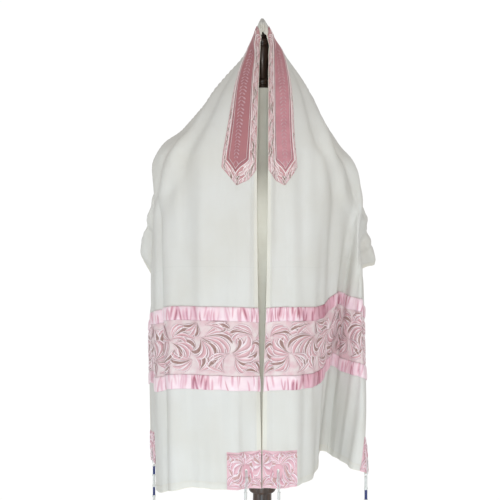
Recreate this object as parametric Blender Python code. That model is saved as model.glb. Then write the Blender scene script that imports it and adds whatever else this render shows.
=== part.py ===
"""A tallit, the fringed prayer shawl, hanging open over the finial and shoulders of a limbless dress form.

Metres, +Z up. The origin is the middle of the stand's underside, and the open front faces -Y.

The shawl is one cut rectangle. A point of it is (u, t): u runs along the length from the centre line,
negative to the wearer's right (-X), and t runs down the width from the long edge that frames the front.
Every piece that is sewn on the shawl is made from the shawl's own points, moved out.
"""

import math

import bmesh
import bpy
import numpy as np

# ---- the cut cloth ----
LENGTH = 1.83
WIDTH = 0.457
HALF = LENGTH / 2
CLOTH = 0.0012  # the cloth's thickness
HEM_WIDTH = 0.014
HEM_RAISE = 0.0006  # how much thicker the turned hem is, on the outer face
APEX_T = 0.030  # where the top of the finial lies on the centre line
SHOULDER_U = 0.250  # the point of the cloth on each shoulder tip
SHOULDER_T = 0.222

# ---- where it hangs ----
TOP_Z = 1.620
SHOULDERS = {-1: (0.222, 1.333), 1: (0.201, 1.314)}  # the tips: how far out, and z
BACK_Y = 0.118  # the plane of the hanging back

# ---- what is sewn on ----
SEAM = 0.0003  # between pieces that are sewn together
RIBBON_WIDTH = 0.024
BAND_WIDTH = 0.110
BAND_ABOVE_HEM = 0.188  # from the short hem up to the lower ribbon
TRIM = 0.0009  # thickness of ribbons, bands and patches
TRIM_IN = 0.0005  # how far they stop short of the shawl's edges
RIBBON_SLACK = 0.0002  # how much looser the puckered ribbons lie
PUCKERS = 22  # on each ribbon
PUCKER_RISE = 0.0014
PATCH_SIDE = 0.068
EYELET = 0.0066  # side of the hole for the fringe
EYELET_IN = 0.0305  # its middle, from both edges of the corner
ATARAH_WIDTH = 0.068
ATARAH_HALF = 0.300  # from the centre line to where the point begins
ATARAH_POINT = 0.031
ATARAH_STRIP = 0.037
ATARAH_STRIP_SHORT = 0.008  # how much shorter the strip's point is
GATHER_U = 0.030  # the gathered cloth over the finial, which the neckband leaves bare
GATHER_T = 0.035
ATARAH_TURN = 0.120  # the stretch round the finial, where it lies slack over the shawl
ATARAH_SLACK = 0.0012

# ---- the corner fringes ----
CORD = 0.0011  # radius of the loop
WRAP_RADIUS = 0.0030
KNOT_RADIUS = 0.0042
WRAP_LENGTH = 0.095
KNOTS = 5
STRANDS = 8
STRAND_LENGTH = 0.185
STRAND_RADIUS = 0.0008
STRAND_ROOTS = (0.0014, 0.0030)  # how far from the middle the strands start, in turn
STRAND_STEPS = 4
STRAND_TUCK = 0.004  # how far a strand starts inside the wound part
LOOP_DROP = 0.007  # from the hem down to the wound part

# ---- the form and its stand ----
BASE_RADIUS = 0.165
POLE_RADIUS = 0.0194
COLLAR_Z = 0.642
TORSO_BOTTOM = 0.735
NECK_TOP = 1.465


# ---- smooth tables ----

def smooth(rows, x):
    """Each column of a table at x: a curve through its rows that never overshoots them."""
    table = np.array(rows, float)
    at, value = table[:, 0], table[:, 1:]
    step = np.diff(at)[:, None]
    slope = np.diff(value, axis=0) / step
    tangent = np.zeros_like(value)
    tangent[0], tangent[-1] = slope[0], slope[-1]
    for k in range(1, len(at) - 1):
        same = slope[k - 1] * slope[k] > 0
        total = np.where(same, slope[k - 1] + slope[k], 1.0)
        tangent[k] = np.where(same, 2 * slope[k - 1] * slope[k] / total, 0.0)
    x = min(max(x, at[0]), at[-1])
    k = min(int(np.searchsorted(at, x, side="right")) - 1, len(at) - 2)
    s = (x - at[k]) / step[k, 0]
    return (
        value[k] * (2 * s**3 - 3 * s**2 + 1)
        + value[k + 1] * (3 * s**2 - 2 * s**3)
        + tangent[k] * step[k, 0] * (s**3 - 2 * s**2 + s)
        + tangent[k + 1] * step[k, 0] * (s**3 - s**2)
    )


# The tent from the finial to the shoulders, by cloth distance from the top:
# distance, left ridge out, z, right ridge out, z, front y, z, back y, z
TENT = [
    (0.000, 0.000, TOP_Z, 0.000, TOP_Z, 0.000, TOP_Z, 0.000, TOP_Z),
    (0.012, 0.009, 1.613, 0.012, 1.613, -0.012, 1.613, 0.011, 1.613),
    (0.030, 0.018, 1.590, 0.023, 1.590, -0.028, 1.585, 0.024, 1.591),
    (0.060, 0.030, 1.553, 0.040, 1.553, -0.046, 1.536, 0.038, 1.557),
    (0.100, 0.064, 1.516, 0.070, 1.516, -0.066, 1.498, 0.058, 1.519),
    (0.150, 0.103, 1.465, 0.098, 1.465, -0.084, 1.449, 0.080, 1.473),
    (0.200, 0.135, 1.414, 0.122, 1.414, -0.096, 1.400, 0.099, 1.427),
    (0.250, 0.176, 1.374, 0.143, 1.370, -0.101, 1.349, 0.111, 1.379),
    (0.290, 0.208, 1.351, 0.172, 1.337, -0.102, 1.310, 0.116, 1.340),
    (0.318, *SHOULDERS[-1], *SHOULDERS[1], -0.102, 1.290, 0.118, 1.312),
]
RIDGE_SHARE = 0.45  # the ridge's share of the way from the front edge round to the centre back
FRONT_FULL = 1.3  # how late the front turns to the side
FRONT_FLAT = 0.8  # how flat the front and the back are
BACK_FLAT = 0.75

# The front edges of the open front, by u: x of the left one and of the right one
GAP = [
    (0.000, 0.000, 0.000),
    (0.020, -0.0032, 0.0130),
    (0.120, -0.0077, 0.0098),
    (0.300, -0.0119, 0.0093),
    (0.560, -0.0099, 0.0054),
    (0.740, -0.0061, -0.0010),
    (0.860, -0.0044, -0.0016),
    (HALF, -0.0042, -0.0014),
]

# The front at the hem, by t: how far out from the open edge, y, and how much it is lifted
LEFT_FRONT = [
    (0.000, 0.000, -0.100, 0.000),
    (0.050, 0.049, -0.110, -0.001),
    (0.100, 0.098, -0.114, 0.001),
    (0.160, 0.156, -0.098, -0.004),
    (0.200, 0.192, -0.070, -0.014),
    (SHOULDER_T, 0.208, -0.049, -0.022),
]
RIGHT_FRONT = [
    (0.000, 0.000, -0.100, 0.000),
    (0.045, 0.045, -0.105, 0.000),
    (0.080, 0.078, -0.096, 0.002),
    (0.120, 0.099, -0.064, 0.008),
    (0.180, 0.112, -0.006, 0.010),
    (SHOULDER_T, 0.130, 0.024, 0.008),
]

# The folds that fall from each shoulder tip, as rays, by the angle in the flat cloth from the front fold:
# degrees, slope outwards, slope to the back, lift of the cloth at the hem
LEFT_SIDE = [
    (0.0, -0.016, -0.074, -0.022),
    (7.0, -0.003, 0.045, -0.012),
    (13.0, 0.008, 0.140, 0.000),
    (19.5, 0.046, 0.235, 0.004),
    (34.0, 0.076, 0.370, 0.010),
    (50.0, 0.036, 0.410, 0.000),
    (62.0, 0.110, 0.440, 0.000),
    (73.0, 0.245, 0.480, 0.000),
    (81.0, 0.140, 0.520, 0.000),
    (90.0, -0.050, 0.500, 0.000),
]
RIGHT_SIDE = [
    (0.0, -0.107, 0.036, 0.008),
    (1.6, -0.095, 0.046, 0.008),
    (6.0, -0.076, -0.002, 0.008),
    (10.5, -0.048, -0.072, 0.008),
    (13.0, -0.026, -0.108, 0.008),
    (15.0, -0.006, -0.118, 0.008),
    (17.5, 0.007, -0.096, 0.008),
    (21.0, 0.007, -0.040, 0.006),
    (30.0, 0.034, 0.110, 0.004),
    (42.0, 0.050, 0.280, 0.000),
    (52.0, 0.030, 0.370, 0.000),
    (66.0, 0.225, 0.450, 0.000),
    (78.0, 0.140, 0.520, 0.000),
    (90.0, -0.030, 0.500, 0.000),
]

# How much of the right side's length is bunched up between the shoulder and the bands, by t
BUNCHED = [
    (0.110, 0.000),
    (0.140, 0.005),
    (0.165, 0.022),
    (0.190, 0.042),
    (SHOULDER_T, 0.054),
    (0.260, 0.052),
    (0.300, 0.055),
    (0.340, 0.061),
    (0.400, 0.068),
    (WIDTH, 0.075),
]
LIFT_GROWS = 4.0  # the hem's lift fades quickly up the cloth
BUNCHED_BY = 0.42  # the share of the way down by which it is all taken up
# The soft rolls that the bunched cloth lies in: u at the middle, width, depth
ROLLS = [
    (0.350, 0.034, 0.012),
    (0.445, 0.034, -0.008),
]

# Folds that run down the hanging cloth: side, t at the middle, width, depth, u where it starts
FOLDS = [
    (-1, 0.060, 0.016, 0.0030, 0.300),
    (-1, 0.135, 0.018, -0.0040, 0.200),
    (-1, 0.172, 0.014, 0.0035, 0.200),
    (1, 0.050, 0.018, -0.0030, 0.350),
    (1, 0.150, 0.022, 0.0040, 0.450),
    (1, 0.310, 0.022, -0.0040, 0.450),
]
TIGHT_REACH = 0.12  # how far from the top of the finial the cloth is drawn tight
FOLD_GROWS = 0.25  # the length over which a fold reaches its full depth

# Folds that run from the finial down the back: u at the middle, width, depth
BACK_FOLDS = [
    (-0.175, 0.026, 0.0070),
    (-0.085, 0.024, -0.0060),
    (0.000, 0.022, 0.0050),
    (0.070, 0.024, -0.0060),
    (0.160, 0.028, 0.0075),
]


def tent(side, u, t):
    """The cloth between the finial and the shoulders."""
    away = math.hypot(u, t - APEX_T)
    angle = math.atan2(t - APEX_T, u)
    edge = -math.asin(min(1.0, APEX_T / max(away, 1e-9)))
    share = (angle - edge) / (math.pi / 2 - edge)
    left_x, left_z, right_x, right_z, front_y, front_z, back_y, back_z = smooth(TENT, away)
    ridge_x, ridge_z = (left_x, left_z) if side < 0 else (right_x, right_z)
    gap = smooth(GAP, u)[0 if side < 0 else 1]
    if share < RIDGE_SHARE:
        turn = math.pi / 2 * max(share / RIDGE_SHARE, 0.0) ** FRONT_FULL
        x = ridge_x * math.sin(turn)
        y = front_y * math.cos(turn) ** FRONT_FLAT
        z = front_z + (ridge_z - front_z) * math.sin(turn) ** 2
    else:
        turn = math.pi / 2 * (1 - share) / (1 - RIDGE_SHARE)
        x = ridge_x * math.sin(turn)
        y = back_y * math.cos(turn) ** BACK_FLAT
        z = back_z + (ridge_z - back_z) * math.sin(turn) ** 2
    near_gap = max(0.0, 1 - share / RIDGE_SHARE)
    return np.array([side * x + gap * near_gap, y, z])


def bunched(side, t, down):
    """How much the cloth is drawn up, by the share of the way down from the shoulder."""
    if side < 0:
        return 0.0
    s = min(1.0, down / BUNCHED_BY)
    return smooth(BUNCHED, t)[0] * s**2 * (3 - 2 * s)


def front_panel(side, u, t):
    """The cloth that hangs down the front, from the chest to the hem."""
    top = tent(side, SHOULDER_U, t)
    down = (u - SHOULDER_U) / (HALF - SHOULDER_U)
    out, y, lift = smooth(LEFT_FRONT if side < 0 else RIGHT_FRONT, t)
    gap = smooth(GAP, u)[0 if side < 0 else 1]
    near_gap = 1 - t / SHOULDER_T
    top_out = side * (top[0] - smooth(GAP, SHOULDER_U)[0 if side < 0 else 1] * near_gap)
    x = side * (top_out + (out - top_out) * down) + gap * near_gap
    slope = math.hypot(out - top_out, y - top[1]) / (HALF - SHOULDER_U)
    z = top[2] - (u - SHOULDER_U) * math.sqrt(1 - slope**2) + lift * down**LIFT_GROWS + bunched(side, t, down)
    return np.array([x, top[1] + (y - top[1]) * down, z])


def side_fall(side, u, t):
    """The cloth that falls from the shoulder tip, between the front and the back."""
    along, across = u - SHOULDER_U, t - SHOULDER_T
    away = math.hypot(along, across)
    angle = math.degrees(math.atan2(across, along))
    out, back, lift = smooth(LEFT_SIDE if side < 0 else RIGHT_SIDE, angle)
    drop = math.sqrt(1 - out**2 - back**2)
    down = max(along, 0.0) / (HALF - SHOULDER_U)
    tip_x, tip_z = SHOULDERS[side]
    return np.array([
        side * (tip_x + away * out),
        away * back,
        tip_z - away * drop + lift * down**LIFT_GROWS + bunched(side, t, down),
    ])


def back_panel(side, u, t):
    """The cloth that hangs down the back."""
    top = tent(side, u, SHOULDER_T)
    span = WIDTH - SHOULDER_T
    low_corner = side_fall(side, SHOULDER_U, WIDTH)
    share = u / SHOULDER_U
    low_x = side * (top[0] * side * (1 - share**3) + side * low_corner[0] * share**3)
    low_y = BACK_Y + (low_corner[1] - BACK_Y) * share**3
    flat = math.hypot(low_x - top[0], low_y - top[1])
    low_z = top[2] - math.sqrt(max(span**2 - flat**2, 0.01))
    s = (t - SHOULDER_T) / span
    bow = 1 - (1 - s) ** (1 + 0.9 * (1 - share))
    return np.array([
        top[0] + (low_x - top[0]) * s,
        top[1] + (low_y - top[1]) * bow,
        top[2] + (low_z - top[2]) * s,
    ])


def shawl_point(u, t):
    """Where a point of the flat cloth hangs."""
    side = -1 if u < 0 else 1
    u = abs(u)
    if u <= SHOULDER_U:
        return tent(side, u, t) if t <= SHOULDER_T else back_panel(side, u, t)
    return front_panel(side, u, t) if t <= SHOULDER_T else side_fall(side, u, t)


# ---- the shawl as a grid of rows ----

def spread(edges, step):
    """Values from the first edge to the last, through each of them, about a step apart."""
    out = [edges[0]]
    for a, b in zip(edges, edges[1:]):
        count = max(1, round((b - a) / step))
        out += [a + (b - a) * k / count for k in range(1, count + 1)]
    return out


def eyelet_lines(edge, inward):
    """The two grid lines either side of a corner eyelet."""
    middle = edge + inward * EYELET_IN
    return sorted([middle - EYELET / 2, middle + EYELET / 2])


RIBBON_LOW = HALF - BAND_ABOVE_HEM
BAND_LOW = RIBBON_LOW - RIBBON_WIDTH
BAND_HIGH = BAND_LOW - BAND_WIDTH
RIBBON_HIGH = BAND_HIGH - RIBBON_WIDTH
HALF_ROWS = spread(
    [0.0, 0.030, 0.060, 0.150, 0.284, ATARAH_HALF, 0.3165, RIBBON_HIGH, BAND_HIGH, BAND_LOW, RIBBON_LOW]
    + [HALF - PATCH_SIDE, *eyelet_lines(HALF, -1), HALF - HEM_WIDTH, HALF],
    0.0370,
)
ROWS = [-u for u in reversed(HALF_ROWS[1:])] + HALF_ROWS
COLUMNS = spread(
    [0.0, HEM_WIDTH, *eyelet_lines(0.0, 1), HEM_WIDTH + ATARAH_STRIP, PATCH_SIDE]
    + [SHOULDER_T, 0.238, 0.370, WIDTH - PATCH_SIDE]
    + [*eyelet_lines(WIDTH, -1), WIDTH - HEM_WIDTH, WIDTH],
    0.0165,
)


def relaxed(grid, passes):
    """The grid with its folds rounded: each point moves towards the middle of its neighbours.

    The cloth that is drawn tight over the finial gives way less.
    """
    from_top = np.array([[math.hypot(u, t - APEX_T) for t in COLUMNS] for u in ROWS])
    give = 0.5 * np.minimum(1.0, from_top / TIGHT_REACH)[..., None] ** 2
    for _ in range(passes):
        soft = grid.copy()
        soft[1:-1, 1:-1] = (
            grid[:-2, 1:-1] + grid[2:, 1:-1] + grid[1:-1, :-2] + grid[1:-1, 2:]
        ) / 4
        soft[1:-1, [0, -1]] = (grid[:-2, [0, -1]] + grid[2:, [0, -1]]) / 2
        soft[[0, -1], 1:-1] = (grid[[0, -1], :-2] + grid[[0, -1], 2:]) / 2
        grid = grid + (soft - grid) * give
    return grid


def normals(grid):
    """Outward unit normals at the points of a grid."""
    along = np.gradient(grid, axis=0)
    across = np.gradient(grid, axis=1)
    out = np.cross(along, across)
    return out / np.linalg.norm(out, axis=2, keepdims=True)


def with_folds(grid):
    """The grid with its hanging folds and the folds down the back pressed into it."""
    out = normals(grid)
    moved = grid.copy()
    for i, u in enumerate(ROWS):
        for j, t in enumerate(COLUMNS):
            depth = 0.0
            for side, middle, width, rise, start in FOLDS:
                if u * side > start:
                    grown = min(1.0, (abs(u) - start) / FOLD_GROWS)
                    depth += rise * grown * math.exp(-(((t - middle) / width) ** 2))
            for middle, width, rise in ROLLS:
                grown = min(1.0, max(0.0, (t - SHOULDER_T) / 0.12))
                depth += rise * grown * math.exp(-(((u - middle) / width) ** 2))
            for middle, width, rise in BACK_FOLDS:
                spread_u = middle * (0.35 + 0.65 * t / WIDTH)
                grown = min(1.0, max(0.0, (t - 0.08) / 0.18))
                depth += rise * grown * math.exp(-(((u - spread_u) / width) ** 2))
            moved[i, j] += out[i, j] * depth
    return moved


def shawl_grid():
    grid = np.array([[shawl_point(u, t) for t in COLUMNS] for u in ROWS])
    return with_folds(relaxed(grid, 3))


GRID = shawl_grid()
OUTWARD = normals(GRID)


def on_cloth(u, t, lift):
    """A point over the shawl's flat facets at (u, t), moved out by lift."""
    i = min(max(int(np.searchsorted(ROWS, u, side="right")) - 1, 0), len(ROWS) - 2)
    j = min(max(int(np.searchsorted(COLUMNS, t, side="right")) - 1, 0), len(COLUMNS) - 2)
    a = (u - ROWS[i]) / (ROWS[i + 1] - ROWS[i])
    b = (t - COLUMNS[j]) / (COLUMNS[j + 1] - COLUMNS[j])
    moved = GRID + OUTWARD * lift
    near, far = moved[i, j], moved[i + 1, j + 1]
    if a >= b:
        corner, p, q, r = moved[i + 1, j], 1 - a, a - b, b
    else:
        corner, p, q, r = moved[i, j + 1], 1 - b, b - a, a
    return near * p + corner * q + far * r


# ---- Blender ----

def clear_scene():
    for thing in list(bpy.data.objects):
        bpy.data.objects.remove(thing, do_unlink=True)


def material(name, colour, roughness, metallic=0.0):
    made = bpy.data.materials.new(name)
    made.use_nodes = True
    shader = made.node_tree.nodes["Principled BSDF"]
    shader.inputs["Base Color"].default_value = (*colour, 1.0)
    shader.inputs["Roughness"].default_value = roughness
    shader.inputs["Metallic"].default_value = metallic
    return made


def add_object(name, points, faces, look, round_below=40.0):
    """One closed mesh as a named object, shaded smooth except over sharp edges."""
    mesh = bpy.data.meshes.new(name)
    mesh.from_pydata([tuple(p) for p in points], [], faces)
    made = bpy.data.objects.new(name, mesh)
    bpy.context.scene.collection.objects.link(made)
    mesh.materials.append(material(name, *look))
    mesh.shade_smooth()
    mesh.set_sharp_from_angle(angle=math.radians(round_below))
    return made


def wall(outer, inner, holes=()):
    """Points and faces of a closed wall between two grids, open through the cells in holes."""
    rows, columns = outer.shape[:2]
    points = np.concatenate([outer.reshape(-1, 3), inner.reshape(-1, 3)])
    count = rows * columns
    faces, rim = [], {}
    for i in range(rows - 1):
        for j in range(columns - 1):
            if (i, j) in holes:
                continue
            a, b = i * columns + j, (i + 1) * columns + j
            for face in ((a, b + 1, a + 1), (a, b, b + 1)):
                faces.append(face)
                faces.append(tuple(count + v for v in reversed(face)))
                for k in range(3):
                    edge = (face[k], face[(k + 1) % 3])
                    if (edge[1], edge[0]) in rim:
                        del rim[(edge[1], edge[0])]
                    else:
                        rim[edge] = True
    for a, b in rim:
        faces.append((b, a, count + a, count + b))
    used = sorted({v for face in faces for v in face})
    place = {v: k for k, v in enumerate(used)}
    return points[used], [tuple(place[v] for v in face) for face in faces]


# ---- the pieces of the shawl ----

CREAM = ((0.80, 0.80, 0.73), 0.75)
PINK_SATIN = ((0.86, 0.52, 0.58), 0.35)
PINK_GROUND = ((0.72, 0.50, 0.50), 0.60)
ROSE_SATIN = ((0.55, 0.22, 0.25), 0.40)
WHITE_CORD = ((0.85, 0.85, 0.86), 0.80)
FORM_LINEN = ((0.38, 0.34, 0.26), 0.85)
DARK_WOOD = ((0.075, 0.045, 0.030), 0.40)

ON_CLOTH = CLOTH / 2 + SEAM
ON_HEM = ON_CLOTH + HEM_RAISE


def hole_cells(rows, columns, middles):
    """The grid cells round the given middles."""
    cells = set()
    for u, t in middles:
        i = int(np.searchsorted(rows, u)) - 1
        j = int(np.searchsorted(columns, t)) - 1
        cells.add((i, j))
    return cells


EYELETS = [
    (end * (HALF - EYELET_IN), t) for end in (-1, 1) for t in (EYELET_IN, WIDTH - EYELET_IN)
]


def make_shawl():
    raised = np.full(GRID.shape[:2], CLOTH / 2)
    for i, u in enumerate(ROWS):
        for j, t in enumerate(COLUMNS):
            if min(t, WIDTH - t, HALF - abs(u)) < HEM_WIDTH - 1e-6:
                raised[i, j] += HEM_RAISE
    outer = GRID + OUTWARD * raised[..., None]
    inner = GRID - OUTWARD * CLOTH / 2
    holes = hole_cells(ROWS, COLUMNS, EYELETS)
    add_object("shawl_cloth", *wall(outer, inner, holes), CREAM, 60.0)


def between(values, low, high):
    """The grid's own lines inside a span, with the span's two ends."""
    return [low] + [v for v in values if low + 1e-6 < v < high - 1e-6] + [high]


def trim_height(u, t):
    """Where a sewn piece's inner face lies, over the cloth or over its thicker hem."""
    edge = min(t, WIDTH - t, HALF - abs(u))
    over_hem = min(1.0, max(0.0, 1 + (HEM_WIDTH - edge) / 0.017))
    return ON_CLOTH + HEM_RAISE * over_hem


def strip(name, us, ts, look, thick, wave=None, holes=(), slack=0.0):
    """A flat strip sewn on the shawl, with an outer face that a wave may raise."""
    outer, inner = [], []
    for u in us:
        low = [trim_height(u, t) + slack for t in ts]
        rise = [thick + (wave(u, t) if wave else 0.0) for t in ts]
        inner.append([on_cloth(u, t, h) for t, h in zip(ts, low)])
        outer.append([on_cloth(u, t, h + r) for t, h, r in zip(ts, low, rise)])
    return add_object(name, *wall(np.array(outer), np.array(inner), holes), look)


def make_ribbon(name, end, low, high, phase):
    """A satin ribbon across one end of the shawl, drawn up into small puckers."""
    us = sorted(end * u for u in (low + SEAM / 2, (low + high) / 2, high - SEAM / 2))
    count = PUCKERS * 3
    ts = [TRIM_IN + (WIDTH - 2 * TRIM_IN) * k / count for k in range(count + 1)]
    for column in COLUMNS[1:-1]:
        nearest = min(range(1, count), key=lambda k: abs(ts[k] - column))
        ts[nearest] = column
    middle = (low + high) / 2

    def pucker(u, t):
        across = 1 - 0.65 * (abs(abs(u) - middle) / ((high - low) / 2)) ** 2
        uneven = 0.75 + 0.25 * math.sin(37 * t + phase)
        wave = 0.5 + 0.5 * math.sin(PUCKERS * math.tau * t / WIDTH + phase)
        return PUCKER_RISE * across * uneven * wave

    strip(name, us, ts, PINK_SATIN, TRIM, pucker, slack=RIBBON_SLACK)


def make_bands():
    for end, word in ((-1, "left"), (1, "right")):
        make_ribbon(f"ribbon_upper_{word}", end, RIBBON_HIGH, BAND_HIGH, 0.7 + end)
        make_ribbon(f"ribbon_lower_{word}", end, BAND_LOW, RIBBON_LOW, 2.9 - end)
        low, high = BAND_HIGH + SEAM / 2, BAND_LOW - SEAM / 2
        us = sorted(end * u for u in between(HALF_ROWS, low, high))
        strip(f"band_{word}", us, between(COLUMNS, TRIM_IN, WIDTH - TRIM_IN), PINK_GROUND, TRIM)


def make_patches():
    """The squares that strengthen the four corners, each with its eyelet."""
    for end, word in ((-1, "left"), (1, "right")):
        us = sorted(end * u for u in between(HALF_ROWS, HALF - PATCH_SIDE, HALF - TRIM_IN))
        for place, low, high in (
            ("front", TRIM_IN, PATCH_SIDE),
            ("back", WIDTH - PATCH_SIDE, WIDTH - TRIM_IN),
        ):
            ts = between(COLUMNS, low, high)
            middle = EYELET_IN if place == "front" else WIDTH - EYELET_IN
            hole = hole_cells(us, ts, [(end * (HALF - EYELET_IN), middle)])
            strip(f"corner_{word}_{place}", us, ts, PINK_GROUND, TRIM, None, hole)


def neckband_layer(name, ts, shorter, lift, look):
    """One layer of the neckband, pointed at its ends and cut away over the gathered finial."""
    band = [u for u in ROWS if abs(u) < ATARAH_HALF + 1e-6]
    us = [band[0] - 1e-3, *band, band[-1] + 1e-3]
    gathered = {
        (i, j)
        for i, u in enumerate(us[:-1])
        for j, t in enumerate(ts[1:])
        if -GATHER_U - 1e-6 < u < GATHER_U - 1e-6 and t < GATHER_T
    }
    outer, inner = [], []
    for u in us:
        at = [(u, t) for t in ts]
        if abs(u) > ATARAH_HALF:
            tips = [ATARAH_POINT * (1 - abs(2 * t / ATARAH_WIDTH - 1)) - shorter for t in ts]
            at = [(u + math.copysign(max(tip, 0.001), u), t) for tip, t in zip(tips, ts)]
        slack = ATARAH_SLACK * math.exp(-((u / ATARAH_TURN) ** 2))
        low = [lift + slack + trim_height(*p) for p in at]
        inner.append([on_cloth(*p, h) for p, h in zip(at, low)])
        outer.append([on_cloth(*p, h + TRIM) for p, h in zip(at, low)])
    add_object(name, *wall(np.array(outer), np.array(inner), gathered), look)


def make_atarah():
    """The neckband: a brocade ground with a satin strip along its middle."""
    ground = between(COLUMNS, TRIM_IN, ATARAH_WIDTH)
    strip_edge = HEM_WIDTH + ATARAH_STRIP
    over_ground = [t for t in COLUMNS if HEM_WIDTH - 1e-6 < t < strip_edge + 1e-6]
    neckband_layer("atarah_ground", ground, 0.0, SEAM, PINK_GROUND)
    neckband_layer("atarah_strip", over_ground, ATARAH_STRIP_SHORT, TRIM + 3 * SEAM, ROSE_SATIN)


# ---- the fringes ----

def tube(path, radius, sides):
    """Points and faces of a closed tube along a path."""
    path = np.array(path, float)
    ahead = np.gradient(path, axis=0)
    ahead /= np.linalg.norm(ahead, axis=1, keepdims=True)
    reference = np.array([0.123, 0.992, 0.0])
    points, faces = [], []
    for p, d in zip(path, ahead):
        one = np.cross(d, reference)
        one /= np.linalg.norm(one)
        two = np.cross(d, one)
        for k in range(sides):
            turn = math.tau * k / sides
            points.append(p + radius * (math.cos(turn) * one + math.sin(turn) * two))
    for ring in range(len(path) - 1):
        for k in range(sides):
            a, b = ring * sides + k, ring * sides + (k + 1) % sides
            faces.append((a, b, b + sides, a + sides))
    faces.append(tuple(reversed(range(sides))))
    faces.append(tuple(range(len(points) - sides, len(points))))
    return points, faces


def turned(profile, sides, centre=(0.0, 0.0)):
    """Points and faces of a turned solid from (radius, z) rows, bottom to top."""
    points, faces = [], []
    for radius, z in profile:
        for k in range(sides):
            turn = math.tau * k / sides
            points.append((centre[0] + radius * math.cos(turn), centre[1] + radius * math.sin(turn), z))
    for ring in range(len(profile) - 1):
        for k in range(sides):
            a, b = ring * sides + k, ring * sides + (k + 1) % sides
            faces.append((a, b, b + sides, a + sides))
    faces.append(tuple(reversed(range(sides))))
    faces.append(tuple(range(len(points) - sides, len(points))))
    return points, faces


def joined(parts):
    points, faces = [], []
    for more_points, more_faces in parts:
        start = len(points)
        points += list(more_points)
        faces += [tuple(start + v for v in face) for face in more_faces]
    return points, faces


def fuse(target, points, faces, name):
    """Adds a closed shape to an object with a Boolean union."""
    helper = add_object(name, points, faces, WHITE_CORD)
    helper.hide_render = True
    helper.display_type = "WIRE"
    union = target.modifiers.new(name, "BOOLEAN")
    union.operation = "UNION"
    union.solver = "EXACT"
    union.object = helper


def wrapped_profile(bottom):
    """The wound part of a fringe with its double knots, from the strands up."""
    rows = [(0.0016, bottom)]
    gap = WRAP_LENGTH / (KNOTS - 1)
    for k in range(KNOTS):
        z = bottom + 0.004 + (WRAP_LENGTH - 0.008) * k / (KNOTS - 1)
        rows += [(KNOT_RADIUS, z - 0.0015), (KNOT_RADIUS, z + 0.0015)]
        if k < KNOTS - 1:
            rows += [(WRAP_RADIUS, z + 0.005), (WRAP_RADIUS, z + gap - 0.005)]
    rows.append((0.0016, bottom + WRAP_LENGTH))
    return rows


def make_fringe(name, u, t):
    """A tzitzit: a loop through the eyelet, a wound and knotted length, and eight loose strands."""
    toward_hem = math.copysign(1.0, u)
    over, under = ON_HEM + TRIM + 2 * SEAM + CORD, -(ON_CLOTH + SEAM + CORD)
    at_hem, at_middle = u + toward_hem * (EYELET_IN - 0.001), u + toward_hem * 0.012
    turn_in = [
        (0.0035, over),
        (0.0005, 0.6 * over),
        (0.0, 0.5 * (over + under)),
        (0.0005, 0.4 * under),
        (0.0035, under),
    ]
    front = [on_cloth(at_hem, t, over), on_cloth(at_middle, t, over)]
    through = [on_cloth(u + toward_hem * inward, t, h) for inward, h in turn_in]
    back = [on_cloth(at_middle, t, under), on_cloth(at_hem, t, under)]
    outward = (front[0] - back[-1]) * (1, 1, 0)
    outward *= 0.0018 / np.linalg.norm(outward)
    top = (front[0] + back[-1]) / 2 - (0, 0, LOOP_DROP)
    down = np.array([0, 0, -0.008])
    loop = [top + outward + down, top + outward, *front, *through, *back]
    loop += [top - outward, top - outward + down]
    bottom = top[2] - WRAP_LENGTH
    body = add_object(name, *turned(wrapped_profile(bottom), 6, (top[0], top[1])), WHITE_CORD)
    fuse(body, *tube(loop, CORD, 5), f"{name}_loop")
    strands = []
    for k in range(STRANDS):
        turn = math.tau * k / STRANDS
        root = STRAND_ROOTS[k % 2]
        reach = 0.011 + 0.002 * math.sin(2.3 * k + 9 * t)
        length = STRAND_LENGTH * (1 - 0.05 * ((3 * k) % STRANDS) / STRANDS)
        path = []
        for step in range(STRAND_STEPS + 1):
            s = step / STRAND_STEPS
            out = root + (reach - root) * math.sin(math.pi / 2 * s)
            path.append((
                top[0] + out * math.cos(turn),
                top[1] + out * math.sin(turn),
                bottom + STRAND_TUCK - (length + STRAND_TUCK) * s,
            ))
        strands.append(tube(path, STRAND_RADIUS, 3))
    fuse(body, *joined(strands), f"{name}_strands")


def make_fringes():
    for u, t in EYELETS:
        word = "left" if u < 0 else "right"
        place = "front" if t < WIDTH / 2 else "back"
        make_fringe(f"tzitzit_{word}_{place}", u, t)


# ---- the dress form and its stand ----

# z, half width, front depth, back depth
TORSO = [
    (TORSO_BOTTOM, 0.084, 0.060, 0.070),
    (0.743, 0.098, 0.072, 0.084),
    (0.780, 0.108, 0.080, 0.096),
    (0.840, 0.110, 0.082, 0.098),
    (0.900, 0.106, 0.077, 0.088),
    (0.980, 0.101, 0.070, 0.074),
    (1.060, 0.114, 0.078, 0.082),
    (1.140, 0.140, 0.088, 0.096),
    (1.200, 0.150, 0.092, 0.104),
    (1.250, 0.163, 0.086, 0.102),
    (1.282, 0.175, 0.076, 0.094),
    (1.300, 0.180, 0.066, 0.084),
    (1.312, 0.175, 0.058, 0.074),
    (1.326, 0.160, 0.052, 0.067),
    (1.342, 0.138, 0.048, 0.062),
    (1.360, 0.114, 0.047, 0.060),
    (1.385, 0.090, 0.047, 0.058),
    (1.412, 0.066, 0.047, 0.055),
    (1.440, 0.055, 0.046, 0.053),
    (NECK_TOP, 0.053, 0.046, 0.052),
]
TORSO_SIDES = 26
TORSO_SQUARE = 0.92

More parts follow.
